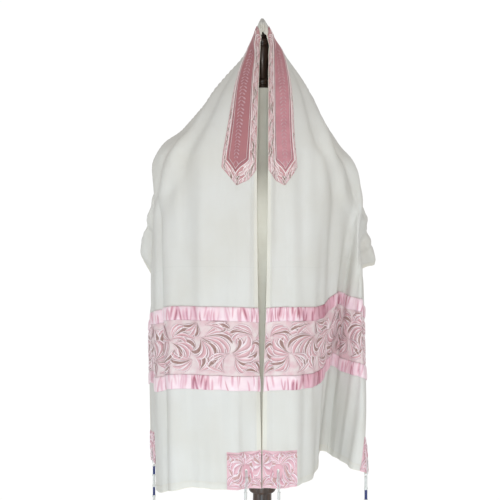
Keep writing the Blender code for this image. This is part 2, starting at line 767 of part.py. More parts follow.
# radius, z
FINIAL = [
    (0.0240, NECK_TOP + SEAM),
    (0.0250, 1.470),
    (0.0230, 1.477),
    (0.0170, 1.480),
    (0.0200, 1.487),
    (0.0130, 1.493),
    (0.0105, 1.505),
    (0.0140, 1.528),
    (0.0175, 1.548),
    (0.0160, 1.558),
    (0.0110, 1.562),
    (0.0145, 1.567),
    (0.0145, 1.574),
    (0.0100, 1.578),
    (0.0110, 1.588),
    (0.0080, 1.6022),
    (0.0030, 1.6118),
]
POLE = [
    (POLE_RADIUS, 0.052 + SEAM),
    (0.0300, 0.056),
    (0.0300, 0.070),
    (0.0230, 0.078),
    (0.0260, 0.090),
    (POLE_RADIUS, 0.110),
    (POLE_RADIUS, COLLAR_Z - SEAM),
]
COLLAR = [
    (0.0260, COLLAR_Z),
    (0.0283, COLLAR_Z + 0.004),
    (0.0283, COLLAR_Z + 0.014),
    (0.0250, COLLAR_Z + 0.018),
    (0.0200, COLLAR_Z + 0.024),
    (0.0200, TORSO_BOTTOM - 0.012),
    (0.0300, TORSO_BOTTOM - 0.008),
    (0.0300, TORSO_BOTTOM - SEAM),
]
BASE = [
    (BASE_RADIUS - 0.006, 0.000),
    (BASE_RADIUS, 0.004),
    (BASE_RADIUS, 0.016),
    (BASE_RADIUS - 0.008, 0.022),
    (0.110, 0.030),
    (0.060, 0.040),
    (0.045, 0.048),
    (0.040, 0.052),
]


def make_form():
    points, faces = [], []
    for z, half, front, back in TORSO:
        for k in range(TORSO_SIDES):
            turn = math.tau * k / TORSO_SIDES
            c, s = math.cos(turn), math.sin(turn)
            x = half * math.copysign(abs(c) ** TORSO_SQUARE, c)
            y = (back if s > 0 else front) * math.copysign(abs(s) ** TORSO_SQUARE, s)
            points.append((x, y, z))
    for ring in range(len(TORSO) - 1):
        for k in range(TORSO_SIDES):
            a, b = ring * TORSO_SIDES + k, ring * TORSO_SIDES + (k + 1) % TORSO_SIDES
            faces.append((a, b, b + TORSO_SIDES, a + TORSO_SIDES))
    faces.append(tuple(reversed(range(TORSO_SIDES))))
    faces.append(tuple(range(len(points) - TORSO_SIDES, len(points))))
    add_object("form_torso", points, faces, FORM_LINEN, 50.0)
    add_object("form_finial", *turned(FINIAL, 16), DARK_WOOD)
    add_object("stand_collar", *turned(COLLAR, 18), DARK_WOOD)
    add_object("stand_pole", *turned(POLE, 18), DARK_WOOD)
    add_object("stand_base", *turned(BASE, 32), DARK_WOOD)


def main():
    clear_scene()
    make_form()
    make_shawl()
    make_bands()
    make_patches()
    make_atarah()
    make_fringes()


main()
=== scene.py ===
"""A tallit, the fringed prayer shawl, hanging open over the finial and shoulders of a limbless dress form.

The shawl is one cut rectangle. A point of it is (u, t): u runs along the length from the centre line,
negative to the wearer's right (-X), and t runs down the width from the long edge that frames the front.
All that is sewn on the shawl is made from the shawl's own points, moved out.
"""

import math
import random

import bpy
import mathutils
import numpy as np
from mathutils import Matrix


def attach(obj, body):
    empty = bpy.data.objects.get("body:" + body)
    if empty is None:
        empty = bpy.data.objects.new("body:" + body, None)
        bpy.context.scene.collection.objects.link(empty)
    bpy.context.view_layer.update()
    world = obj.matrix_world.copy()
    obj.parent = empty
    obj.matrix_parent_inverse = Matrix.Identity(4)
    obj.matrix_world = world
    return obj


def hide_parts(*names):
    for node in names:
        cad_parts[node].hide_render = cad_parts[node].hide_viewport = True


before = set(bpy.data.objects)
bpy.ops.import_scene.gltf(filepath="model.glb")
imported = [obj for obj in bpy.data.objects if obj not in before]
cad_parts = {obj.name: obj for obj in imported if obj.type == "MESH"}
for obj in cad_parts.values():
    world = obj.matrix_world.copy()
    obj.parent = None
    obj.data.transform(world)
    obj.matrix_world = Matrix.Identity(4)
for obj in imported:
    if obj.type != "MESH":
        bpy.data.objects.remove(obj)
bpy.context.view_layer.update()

SIDES = ((-1, "left"), (1, "right"))

# ---- the cut cloth ----
LENGTH = 1.83
WIDTH = 0.457
HALF = LENGTH / 2
CLOTH = 0.0012
HEM_WIDTH = 0.014
HEM_RAISE = 0.0006
APEX_T = 0.030  # where the top of the finial lies on the centre line
SHOULDER_U = 0.250
SHOULDER_T = 0.222
TOP_Z = 1.620
SHOULDERS = {-1: (0.222, 1.333), 1: (0.201, 1.314)}  # the tips: how far out, and z
BACK_Y = 0.118

# ---- what is sewn on ----
SEAM = 0.0003  # from one layer to the next
GROUND_THICK = 0.0004  # the sheer cloth under the embroidery
RIBBON_WIDTH = 0.024
BAND_WIDTH = 0.110
BAND_ABOVE_HEM = 0.188
RIBBON_DRAWN_IN = 0.0025  # what a ribbon loses in width where it is gathered
PUCKERS = 22
SATIN_THICK = 0.0003
SATIN_PUFF = 0.0004  # how far the satin stands off even in its grooves
RIBBON_ROWS, RIBBON_COLUMNS = 13, 520
RIBBON_LOW = HALF - BAND_ABOVE_HEM
BAND_LOW = RIBBON_LOW - RIBBON_WIDTH
BAND_HIGH = BAND_LOW - BAND_WIDTH
RIBBON_HIGH = BAND_HIGH - RIBBON_WIDTH
BAND_ROWS, BAND_COLUMNS = 25, 101
PATCH_SIDE = 0.068
RAW_EDGE = 0.0005  # how far the bands and squares stop short of the shawl's edge
PATCH_STEP = 0.004
EYELET = 0.0066
EYELET_IN = 0.0305
# The stitching round an eyelet: radius of its middle line, half its width, half its height, how many ridges
RING_RADIUS, RING_WIDE, RING_HIGH, RING_STITCHES = 0.0038, 0.0023, 0.0009, 18
RING_FLOSS = 0.004  # the length of floss for each radian round it
ATARAH_WIDTH = 0.068
ATARAH_HALF = 0.300
ATARAH_POINT = 0.031
ATARAH_STRIP = 0.037
GATHER_U = 0.020
GATHER_T = 0.035

# ---- the corner fringes ----
WRAP_RADIUS = 0.0030
KNOT_RADIUS = 0.0042
WRAP_LENGTH = 0.095
KNOTS = 5
WINDING_PITCH = 0.0014
WINDING_RISE = 0.00028
STRANDS = 8
STRAND_LENGTH = 0.185
STRAND_ROOTS = (0.0014, 0.0026)  # how far from the middle the strings start, in turn
STRAND_SPREAD = 0.011  # how far out they hang
LOOP_DROP = 0.007
LOOP_RADIUS = 0.00075
STRAND_RADIUS = 0.00085
WHITE_CORD, BLUE_CORD = 0.0, 1.0  # the tone that the wool's material turns into its colour

# ---- the form and its stand ----
BASE_RADIUS = 0.165
POLE_RADIUS = 0.0194
COLLAR_Z = 0.642
TORSO_BOTTOM = 0.735
NECK_TOP = 1.465

# The tent from the finial to the shoulders, by cloth distance from the top:
# distance, left ridge out, z, right ridge out, z, front y, z, back y, z
TENT = [
    (0.000, 0.000, TOP_Z, 0.000, TOP_Z, 0.000, TOP_Z, 0.000, TOP_Z),
    (0.012, 0.009, 1.613, 0.012, 1.613, -0.012, 1.613, 0.011, 1.613),
    (0.030, 0.018, 1.590, 0.023, 1.590, -0.028, 1.585, 0.024, 1.591),
    (0.060, 0.030, 1.553, 0.040, 1.553, -0.046, 1.536, 0.038, 1.557),
    (0.100, 0.064, 1.516, 0.070, 1.516, -0.066, 1.498, 0.058, 1.519),
    (0.150, 0.103, 1.465, 0.098, 1.465, -0.084, 1.449, 0.080, 1.473),
    (0.200, 0.135, 1.414, 0.122, 1.414, -0.096, 1.400, 0.099, 1.427),
    (0.250, 0.176, 1.374, 0.143, 1.370, -0.101, 1.349, 0.111, 1.379),
    (0.290, 0.208, 1.351, 0.172, 1.337, -0.102, 1.310, 0.116, 1.340),
    (0.318, *SHOULDERS[-1], *SHOULDERS[1], -0.102, 1.290, 0.118, 1.312),
]
RIDGE_SHARE = 0.45
FRONT_FULL = 1.3
FRONT_FLAT = 0.8
BACK_FLAT = 0.75

# The front edges of the open front, by u: x of the left one and of the right one
GAP = [
    (0.000, 0.000, 0.000),
    (0.020, -0.0032, 0.0130),
    (0.120, -0.0077, 0.0098),
    (0.300, -0.0119, 0.0093),
    (0.560, -0.0099, 0.0054),
    (0.740, -0.0052, -0.0014),
    (0.860, -0.0032, -0.0022),
    (HALF, -0.0031, -0.0023),
]

# The front at the hem, by t: how far out from the open edge, y, and how much it is lifted
LEFT_FRONT = [
    (0.000, 0.000, -0.100, 0.000),
    (0.050, 0.049, -0.110, -0.001),
    (0.100, 0.098, -0.114, 0.001),
    (0.160, 0.156, -0.098, -0.004),
    (0.200, 0.192, -0.070, -0.014),
    (SHOULDER_T, 0.208, -0.049, -0.022),
]
RIGHT_FRONT = [
    (0.000, 0.000, -0.100, 0.000),
    (0.045, 0.045, -0.105, 0.000),
    (0.080, 0.078, -0.096, 0.002),
    (0.120, 0.099, -0.064, 0.008),
    (0.180, 0.112, -0.006, 0.010),
    (SHOULDER_T, 0.130, 0.024, 0.008),
]

# The folds that fall from each shoulder tip, as rays, by the angle in the flat cloth from the front fold:
# degrees, slope outwards, slope to the back, lift of the cloth at the hem
LEFT_SIDE = [
    (0.0, -0.016, -0.074, -0.022),
    (7.0, -0.003, 0.045, -0.012),
    (13.0, 0.008, 0.140, 0.000),
    (19.5, 0.046, 0.235, 0.004),
    (34.0, 0.076, 0.370, 0.010),
    (50.0, 0.036, 0.410, 0.000),
    (62.0, 0.110, 0.440, 0.000),
    (73.0, 0.245, 0.480, 0.000),
    (81.0, 0.140, 0.520, 0.000),
    (90.0, -0.050, 0.500, 0.000),
]
RIGHT_SIDE = [
    (0.0, -0.107, 0.036, 0.008),
    (1.6, -0.095, 0.046, 0.008),
    (6.0, -0.076, -0.002, 0.008),
    (10.5, -0.048, -0.072, 0.008),
    (13.0, -0.026, -0.108, 0.008),
    (15.0, -0.006, -0.118, 0.008),
    (17.5, 0.007, -0.096, 0.008),
    (21.0, 0.007, -0.040, 0.006),
    (30.0, 0.034, 0.110, 0.004),
    (42.0, 0.050, 0.280, 0.000),
    (52.0, 0.030, 0.370, 0.000),
    (66.0, 0.225, 0.450, 0.000),
    (78.0, 0.140, 0.520, 0.000),
    (90.0, -0.030, 0.500, 0.000),
]

# How much of the right side's length is bunched up between the shoulder and the bands, by t
BUNCHED = [
    (0.110, 0.000),
    (0.140, 0.005),
    (0.165, 0.022),
    (0.190, 0.042),
    (SHOULDER_T, 0.054),
    (0.260, 0.052),
    (0.300, 0.055),
    (0.340, 0.061),
    (0.400, 0.068),
    (WIDTH, 0.075),
]
LIFT_GROWS = 4.0  # the hem's lift fades quickly up the cloth
BUNCHED_BY = 0.42  # the share of the way down by which it is all taken up
# The soft rolls that the bunched cloth lies in: u at the middle, width, depth
ROLLS = [
    (0.350, 0.034, 0.012),
    (0.445, 0.034, -0.008),
]

# Folds that run down the hanging cloth: side, t at the middle, width, depth, u where it starts
FOLDS = [
    (-1, 0.060, 0.016, 0.0030, 0.300),
    (-1, 0.135, 0.018, -0.0040, 0.200),
    (-1, 0.172, 0.014, 0.0035, 0.200),
    (1, 0.050, 0.018, -0.0030, 0.350),
    (1, 0.150, 0.022, 0.0040, 0.450),
    (1, 0.310, 0.022, -0.0040, 0.450),
]
TIGHT_REACH = 0.12  # how far from the finial the cloth is drawn tight
SOFTENED = 3  # how many times the large folds are rounded
FOLD_GROWS = 0.25  # the length over which a fold deepens
ROLL_GROWS = 0.12  # the width over which the rolls deepen behind the shoulder

BACK_FOLDS_START, BACK_FOLDS_GROW = 0.08, 0.18
# Folds that run from the finial down the back: u at the middle, width, depth
BACK_FOLDS = [
    (-0.175, 0.026, 0.0070),
    (-0.085, 0.024, -0.0060),
    (0.000, 0.022, 0.0050),
    (0.070, 0.024, -0.0060),
    (0.160, 0.028, 0.0075),
]

SHOULDER_FOLDS_END = 0.46  # how far from the finial they have faded out
# Folds that run from the finial over the shoulders: side, degrees from the front edge, width, depth
SHOULDER_FOLDS = [
    (-1, 36.0, 2.0, 0.0076),
    (-1, 31.0, 1.8, -0.0084),
    (-1, 26.0, 2.2, 0.0068),
    (-1, 20.5, 2.2, -0.0052),
    (1, 37.0, 2.0, 0.0076),
    (1, 32.0, 1.8, -0.0086),
    (1, 26.0, 2.2, 0.0070),
    (1, 20.5, 2.2, -0.0050),
]

# The small pleats round the finial's tip
GATHER_PLEATS = 17
GATHER_START = 0.012
GATHER_REACH = 0.075
GATHER_DEPTH = 0.0020

# The sharp pleat at the left side
SIDE_PLEAT_T = 0.203
SIDE_PLEAT_START = 0.30
SIDE_PLEAT_GROWS = 0.08
SIDE_PLEAT_WIDTH = 0.0055
SIDE_PLEAT_DEPTH = 0.0060

# Small ripples along the ribbons' seams
RIPPLE_PITCH = 0.0165
RIPPLE_REACH = 0.010
RIPPLE_DEPTH = 0.00035

# The slim peak over the finial: the half width that stays, and the share by which the rest is drawn in
PEAK_KEPT = 0.009
PEAK_DRAWN = 0.40
PEAK_FROM, PEAK_FULL = 1.545, 1.605  # the heights between which the drawing in grows
TIP_FROM, TIP_FULL = 1.585, 1.615  # the heights between which the kept width runs out

# Soft waves in the hanging cloth: waves along the width, waves along the length, turn, depth
SOFT_WAVES = [
    (7.0, 1.1, 0.4, 0.0019),
    (11.0, -1.7, 2.1, 0.0013),
    (4.3, 2.3, 4.4, 0.0021),
    (17.0, 3.1, 1.2, 0.0004),
]


def on_curve(value, tangent, step, k, s):
    """A smooth curve's value at the share s of its step k."""
    return (
        value[k] * (2 * s**3 - 3 * s**2 + 1)
        + value[k + 1] * (3 * s**2 - 2 * s**3)
        + tangent[k] * step * (s**3 - 2 * s**2 + s)
        + tangent[k + 1] * step * (s**3 - s**2)
    )


def smooth(rows, x):
    """Each column of a table at x: a curve through its rows that never overshoots them."""
    table = np.array(rows, float)
    at, value = table[:, 0], table[:, 1:]
    step = np.diff(at)[:, None]
    slope = np.diff(value, axis=0) / step
    tangent = np.zeros_like(value)
    tangent[0], tangent[-1] = slope[0], slope[-1]
    for k in range(1, len(at) - 1):
        same = slope[k - 1] * slope[k] > 0
        total = np.where(same, slope[k - 1] + slope[k], 1.0)
        tangent[k] = np.where(same, 2 * slope[k - 1] * slope[k] / total, 0.0)
    x = min(max(x, at[0]), at[-1])
    k = min(int(np.searchsorted(at, x, side="right")) - 1, len(at) - 2)
    return on_curve(value, tangent, step[k, 0], k, (x - at[k]) / step[k, 0])


# ---- how the cloth hangs ----

def gap_edge(side, u):
    """Where one front edge of the open front stands."""
    return smooth(GAP, u)[0 if side < 0 else 1]


def tent(side, u, t):
    """The cloth between the finial and the shoulders."""
    away = math.hypot(u, t - APEX_T)
    angle = math.atan2(t - APEX_T, u)
    edge = -math.asin(min(1.0, APEX_T / max(away, 1e-9)))
    share = (angle - edge) / (math.pi / 2 - edge)
    left_x, left_z, right_x, right_z, front_y, front_z, back_y, back_z = smooth(TENT, away)
    ridge_x, ridge_z = (left_x, left_z) if side < 0 else (right_x, right_z)
    gap = gap_edge(side, u)
    if share < RIDGE_SHARE:
        turn = math.pi / 2 * max(share / RIDGE_SHARE, 0.0) ** FRONT_FULL
        x = ridge_x * math.sin(turn)
        y = front_y * math.cos(turn) ** FRONT_FLAT
        z = front_z + (ridge_z - front_z) * math.sin(turn) ** 2
    else:
        turn = math.pi / 2 * (1 - share) / (1 - RIDGE_SHARE)
        x = ridge_x * math.sin(turn)
        y = back_y * math.cos(turn) ** BACK_FLAT
        z = back_z + (ridge_z - back_z) * math.sin(turn) ** 2
    near_gap = max(0.0, 1 - share / RIDGE_SHARE)
    return np.array([side * x + gap * near_gap, y, z])


def bunched(side, t, down):
    """How much the cloth is drawn up, by the share of the way down from the shoulder."""
    if side < 0:
        return 0.0
    s = min(1.0, down / BUNCHED_BY)
    return smooth(BUNCHED, t)[0] * s**2 * (3 - 2 * s)


def front_panel(side, u, t):
    """The cloth that hangs down the front, from the chest to the hem."""
    top = tent(side, SHOULDER_U, t)
    down = (u - SHOULDER_U) / (HALF - SHOULDER_U)
    out, y, lift = smooth(LEFT_FRONT if side < 0 else RIGHT_FRONT, t)
    near_gap = 1 - t / SHOULDER_T
    top_out = side * (top[0] - gap_edge(side, SHOULDER_U) * near_gap)
    x = side * (top_out + (out - top_out) * down) + gap_edge(side, u) * near_gap
    slope = math.hypot(out - top_out, y - top[1]) / (HALF - SHOULDER_U)
    fall = (u - SHOULDER_U) * math.sqrt(1 - slope**2)
    z = top[2] - fall + lift * down**LIFT_GROWS + bunched(side, t, down)
    return np.array([x, top[1] + (y - top[1]) * down, z])


def side_fall(side, u, t):
    """The cloth that falls from the shoulder tip, between the front and the back."""
    along, across = u - SHOULDER_U, t - SHOULDER_T
    away = math.hypot(along, across)
    angle = math.degrees(math.atan2(across, along))
    out, back, lift = smooth(LEFT_SIDE if side < 0 else RIGHT_SIDE, angle)
    drop = math.sqrt(1 - out**2 - back**2)
    down = max(along, 0.0) / (HALF - SHOULDER_U)
    tip_x, tip_z = SHOULDERS[side]
    return np.array([
        side * (tip_x + away * out),
        away * back,
        tip_z - away * drop + lift * down**LIFT_GROWS + bunched(side, t, down),
    ])


def back_panel(side, u, t):
    """The cloth that hangs down the back."""
    top = tent(side, u, SHOULDER_T)
    span = WIDTH - SHOULDER_T
    low_corner = side_fall(side, SHOULDER_U, WIDTH)
    share = u / SHOULDER_U
    low_x = side * (top[0] * side * (1 - share**3) + side * low_corner[0] * share**3)
    low_y = BACK_Y + (low_corner[1] - BACK_Y) * share**3
    flat = math.hypot(low_x - top[0], low_y - top[1])
    low_z = top[2] - math.sqrt(max(span**2 - flat**2, 0.01))
    s = (t - SHOULDER_T) / span
    bow = 1 - (1 - s) ** (1 + 0.9 * (1 - share))
    return np.array([
        top[0] + (low_x - top[0]) * s,
        top[1] + (low_y - top[1]) * bow,
        top[2] + (low_z - top[2]) * s,
    ])


def shawl_point(u, t):
    """Where a point of the flat cloth hangs."""
    side = -1 if u < 0 else 1
    u = abs(u)
    if u <= SHOULDER_U:
        return tent(side, u, t) if t <= SHOULDER_T else back_panel(side, u, t)
    return front_panel(side, u, t) if t <= SHOULDER_T else side_fall(side, u, t)


def spread(edges, step):
    """Values from the first edge to the last, through each of them, about a step apart."""
    out = [edges[0]]
    for a, b in zip(edges, edges[1:]):
        count = max(1, round((b - a) / step))
        out += [a + (b - a) * k / count for k in range(1, count + 1)]
    return out


def eyelet_lines(edge, inward):
    """The two grid lines either side of a corner eyelet."""
    middle = edge + inward * EYELET_IN
    return sorted([middle - EYELET / 2, middle + EYELET / 2])


def both_ways(values):
    """The same lines on both sides of the middle."""
    return [-u for u in reversed(values[1:])] + values


# The folds are set on a wide grid, and the cloth is then drawn as a finer one through it
ROW_STEP = 0.0370
COLUMN_STEP = 0.0165
ROWS = both_ways(spread(
    [0.0, 0.030, 0.060, 0.150, 0.284, ATARAH_HALF, 0.3165, RIBBON_HIGH, BAND_HIGH, BAND_LOW, RIBBON_LOW]
    + [HALF - PATCH_SIDE, *eyelet_lines(HALF, -1), HALF - HEM_WIDTH, HALF],
    ROW_STEP,
))
COLUMNS = spread(
    [0.0, HEM_WIDTH, *eyelet_lines(0.0, 1), HEM_WIDTH + ATARAH_STRIP, PATCH_SIDE]
    + [SHOULDER_T, 0.238, 0.370, WIDTH - PATCH_SIDE]
    + [*eyelet_lines(WIDTH, -1), WIDTH - HEM_WIDTH, WIDTH],
    COLUMN_STEP,
)
FINE_STEP = 0.0046
APEX_STEP = 0.0019  # finer still where the finial gathers the cloth
FINE_ROWS = both_ways(
    spread([0.0, 0.038], APEX_STEP)[:-1]
    + spread([0.038, *eyelet_lines(HALF, -1), HALF - HEM_WIDTH, HALF], FINE_STEP)
)
FINE_COLUMNS = (
    spread([0.0, HEM_WIDTH, *eyelet_lines(0.0, 1), 0.060], APEX_STEP)[:-1]
    + spread([0.060, *eyelet_lines(WIDTH, -1), WIDTH - HEM_WIDTH, WIDTH], FINE_STEP)
)


def relaxed(grid):
    """The grid with its folds rounded, less so where it is drawn tight over the finial."""
    from_top = np.array([[math.hypot(u, t - APEX_T) for t in COLUMNS] for u in ROWS])
    give = 0.5 * np.minimum(1.0, from_top / TIGHT_REACH)[..., None] ** 2
    for _ in range(SOFTENED):
        soft = grid.copy()
        soft[1:-1, 1:-1] = (
            grid[:-2, 1:-1] + grid[2:, 1:-1] + grid[1:-1, :-2] + grid[1:-1, 2:]
        ) / 4
        soft[1:-1, [0, -1]] = (grid[:-2, [0, -1]] + grid[2:, [0, -1]]) / 2
        soft[[0, -1], 1:-1] = (grid[[0, -1], :-2] + grid[[0, -1], 2:]) / 2
        grid = grid + (soft - grid) * give
    return grid


def grown_in(at, start, over):
    """0 up to start, then evenly up to 1 over a length."""
    return np.clip((at - start) / over, 0.0, 1.0)


def bell(off, width):
    """1 in the middle of a fold, falling off smoothly to its sides."""
    return np.exp(-((off / width) ** 2))


def normals(grid):
    """Outward unit normals at the points of a grid."""
    along = np.gradient(grid, axis=0)
    across = np.gradient(grid, axis=1)
    out = np.cross(along, across)
    return out / np.linalg.norm(out, axis=2, keepdims=True)


def with_folds(grid):
    """The grid with its hanging folds, the bunched rolls and the folds down the back pressed into it."""
    u, t = np.meshgrid(ROWS, COLUMNS, indexing="ij")
    depth = np.zeros_like(u)
    for side, middle, width, rise, start in FOLDS:
        grown = grown_in(u * side, start, FOLD_GROWS)
        depth += rise * grown * bell(t - middle, width)
    for middle, width, rise in ROLLS:
        depth += rise * grown_in(t, SHOULDER_T, ROLL_GROWS) * bell(u - middle, width)
    for middle, width, rise in BACK_FOLDS:
        grown = grown_in(t, BACK_FOLDS_START, BACK_FOLDS_GROW)
        depth += rise * grown * bell(u - middle * (0.35 + 0.65 * t / WIDTH), width)
    return grid + normals(grid) * depth[..., None]


def curve_through(values, at, new):
    """Values at new places along the first axis, on a smooth curve through the given ones."""
    at, new = np.array(at), np.array(new)
    step = np.diff(at)
    slope = np.diff(values, axis=0) / step[:, None, None]
    tangent = np.empty_like(values)
    tangent[0], tangent[-1] = slope[0], slope[-1]
    weight = (step[1:] / (step[1:] + step[:-1]))[:, None, None]
    tangent[1:-1] = slope[:-1] * weight + slope[1:] * (1 - weight)
    k = np.clip(np.searchsorted(at, new, side="right") - 1, 0, len(at) - 2)
    s = ((new - at[k]) / step[k])[:, None, None]
    return on_curve(values, tangent, step[k][:, None, None], k, s)


def gathers(u, t):
    """The small pleats that the finial draws the cloth up into."""
    away = np.hypot(u, t - APEX_T)
    turn = np.arctan2(t - APEX_T, u)
    grown = np.minimum(1.0, away / GATHER_START) * bell(away, GATHER_REACH)
    return GATHER_DEPTH * grown * np.sin(GATHER_PLEATS * turn + 0.8 * np.sin(3 * turn))


def soft_waves(u, t):
    """The slight unevenness of cloth that hangs free."""
    free = grown_in(np.hypot(u, t - APEX_T), 0.10, 0.20)
    depth = np.zeros_like(u)
    for across, along, turn, rise in SOFT_WAVES:
        wander = 0.6 * np.sin(5.1 * u + 3 * t + turn)
        depth += rise * np.sin(math.tau * (across * t / WIDTH + along * u / LENGTH) + turn + wander)
    return depth * free


def shoulder_folds(u, t):
    """The long soft folds that run from the finial down over the shoulders."""
    away = np.hypot(u, t - APEX_T)
    turn = np.degrees(np.arctan2(t - APEX_T, np.abs(u)))
    grown = grown_in(away, 0.05, 0.10) * np.clip((SHOULDER_FOLDS_END - away) / 0.16, 0.0, 1.0)
    depth = np.zeros_like(u)
    for side, middle, width, rise in SHOULDER_FOLDS:
        wander = 1.5 * np.sin(14 * away + middle)
        depth += rise * (u * side > 0) * bell(turn - middle - wander, width)
    return depth * grown * np.minimum(1.0, np.abs(u) / 0.03)


def side_pleat(u, t):
    """The sharp pleat where the left front turns back towards the side."""
    grown = grown_in(np.abs(u), SIDE_PLEAT_START, SIDE_PLEAT_GROWS) * (u < 0)
    line = SIDE_PLEAT_T + 0.002 * np.sin(9 * u)
    return -SIDE_PLEAT_DEPTH * grown * bell(t - line, SIDE_PLEAT_WIDTH)


def seam_ripples(u, t):
    """The cloth draws up a little along the ribbons' stitching."""
    depth = np.zeros_like(u)
    for line in (RIBBON_HIGH, BAND_HIGH, BAND_LOW, RIBBON_LOW):
        turn = math.tau * t / RIPPLE_PITCH + 40 * line
        depth += RIPPLE_DEPTH * bell(np.abs(u) - line, RIPPLE_REACH) * np.sin(turn)
    return depth


def pinched(points):
    """The cloth drawn in to a slim peak over the tip of the finial."""
    def eased_in(z, low, high):
        s = grown_in(z, low, high - low)
        return s * s * (3 - 2 * s)

    x, z = points[..., 0], points[..., 2]
    kept = PEAK_KEPT * (1 - eased_in(z, TIP_FROM, TIP_FULL))
    outside = np.maximum(np.abs(x) - kept, 0.0)
    drawn = points.copy()
    drawn[..., 0] = x - np.sign(x) * outside * PEAK_DRAWN * eased_in(z, PEAK_FROM, PEAK_FULL)
    return drawn


def fine_shawl():
    """The hanging cloth as a fine grid of points, with every fold in it."""
    grid = with_folds(relaxed(np.array([[shawl_point(u, t) for t in COLUMNS] for u in ROWS])))
    tall = curve_through(grid, ROWS, FINE_ROWS)
    fine = curve_through(tall.transpose(1, 0, 2), COLUMNS, FINE_COLUMNS).transpose(1, 0, 2)
    u, t = np.meshgrid(FINE_ROWS, FINE_COLUMNS, indexing="ij")
    depth = sum(fold(u, t) for fold in (gathers, soft_waves, shoulder_folds, side_pleat, seam_ripples))
    return pinched(fine + normals(fine) * depth[..., None])


SHAWL = fine_shawl()
OUTWARD = normals(SHAWL)


def on_cloth(u, t, lift):
    """Points over the shawl at (u, t), moved out by lift."""
    u, t = np.asarray(u, float), np.asarray(t, float)
    rows, columns = np.array(FINE_ROWS), np.array(FINE_COLUMNS)
    i = np.clip(np.searchsorted(rows, u, side="right") - 1, 0, len(rows) - 2)
    j = np.clip(np.searchsorted(columns, t, side="right") - 1, 0, len(columns) - 2)
    a = ((u - rows[i]) / (rows[i + 1] - rows[i]))[..., None]
    b = ((t - columns[j]) / (columns[j + 1] - columns[j]))[..., None]

    def mixed(grid):
        near = grid[i, j] * (1 - a) + grid[i + 1, j] * a
        far = grid[i, j + 1] * (1 - a) + grid[i + 1, j + 1] * a
        return near * (1 - b) + far * b

    out = mixed(OUTWARD)
    out /= np.linalg.norm(out, axis=-1, keepdims=True)
    return mixed(SHAWL) + out * np.asarray(lift, float)[..., None]


# ---- the shawl's pieces as meshes ----

def new_piece(name, points, faces, uvs, tones=None, round_below=50.0):
    """A mesh as a named object that rides on the part, with a UV place and a tone for each point."""
    mesh = bpy.data.meshes.new(name)
    mesh.from_pydata([tuple(p) for p in points], [], faces)
    layer = mesh.uv_layers.new(name="cloth")
    corner = np.empty(len(mesh.loops), int)
    mesh.loops.foreach_get("vertex_index", corner)
    layer.data.foreach_set("uv", np.asarray(uvs, float)[corner].ravel())
    if tones is not None:
        tone = mesh.attributes.new("tone", "FLOAT", "POINT")
        tone.data.foreach_set("value", np.asarray(tones, float))
    mesh.shade_smooth()
    mesh.set_sharp_from_angle(angle=math.radians(round_below))
    piece = bpy.data.objects.new(name, mesh)
    bpy.context.scene.collection.objects.link(piece)
    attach(piece, "root")
    return piece


def standing_for(piece, node):
    """The piece, standing for a node of the part, which is hidden."""
    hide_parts(node)
    return piece


def turn_outwards(piece):
    """Faces the surface of closed shapes outwards."""
    bpy.ops.object.select_all(action="DESELECT")
    piece.select_set(True)
    bpy.context.view_layer.objects.active = piece
    bpy.ops.object.mode_set(mode="EDIT")
    bpy.ops.mesh.select_all(action="SELECT")
    bpy.ops.mesh.normals_make_consistent(inside=False)
    bpy.ops.object.mode_set(mode="OBJECT")


def tube_faces(rings, sides):
    """Faces of a tube of rings of points, closed at both ends."""
    faces = []
    for ring in range(rings - 1):
        for k in range(sides):
            a, b = ring * sides + k, ring * sides + (k + 1) % sides
            faces.append((a, b, b + sides, a + sides))
    return [*faces, tuple(reversed(range(sides))), tuple(range((rings - 1) * sides, rings * sides))]


def lengths_along(path):
    """How far along a path each of its points lies."""
    return np.concatenate([[0.0], np.linalg.norm(np.diff(path, axis=0), axis=1).cumsum()])


class Bundle:
    """Closed shapes that are gathered into one piece, each with its UV places and tone."""

    def __init__(self):
        self.points, self.faces, self.uvs, self.tones = [], [], [], []

    def add(self, points, faces, uvs, tone):
        """One more shape; its tone is one value, or a list with one for each point."""
        first = len(self.points)
        self.points += list(points)
        self.faces += [tuple(first + v for v in face) for face in faces]
        self.uvs += uvs
        self.tones += tone if isinstance(tone, list) else [tone] * len(points)

    def cord(self, path, radius, sides, tone=0.0):
        """A closed round cord along a path of points, with UV places by metres along and share round."""
        path = np.asarray(path, float)
        ahead = np.gradient(path, axis=0)
        ahead /= np.linalg.norm(ahead, axis=1, keepdims=True)
        one = np.cross(ahead[0], (0.123, 0.992, 0.0))
        points = []
        for p, d in zip(path, ahead):
            one = one - d * np.dot(one, d)
            one = one / np.linalg.norm(one)
            two = np.cross(d, one)
            for k in range(sides):
                turn = math.tau * k / sides
                points.append(p + radius * (math.cos(turn) * one + math.sin(turn) * two))
        uvs = [(a, k / sides) for a in lengths_along(path) for k in range(sides)]
        self.add(points, tube_faces(len(path), sides), uvs, tone)

    def piece(self, name, slot, round_below=50.0):
        """All the shapes as one named piece; the slot is not used."""
        piece = new_piece(name, self.points, self.faces, self.uvs, self.tones, round_below)
        turn_outwards(piece)
        return piece


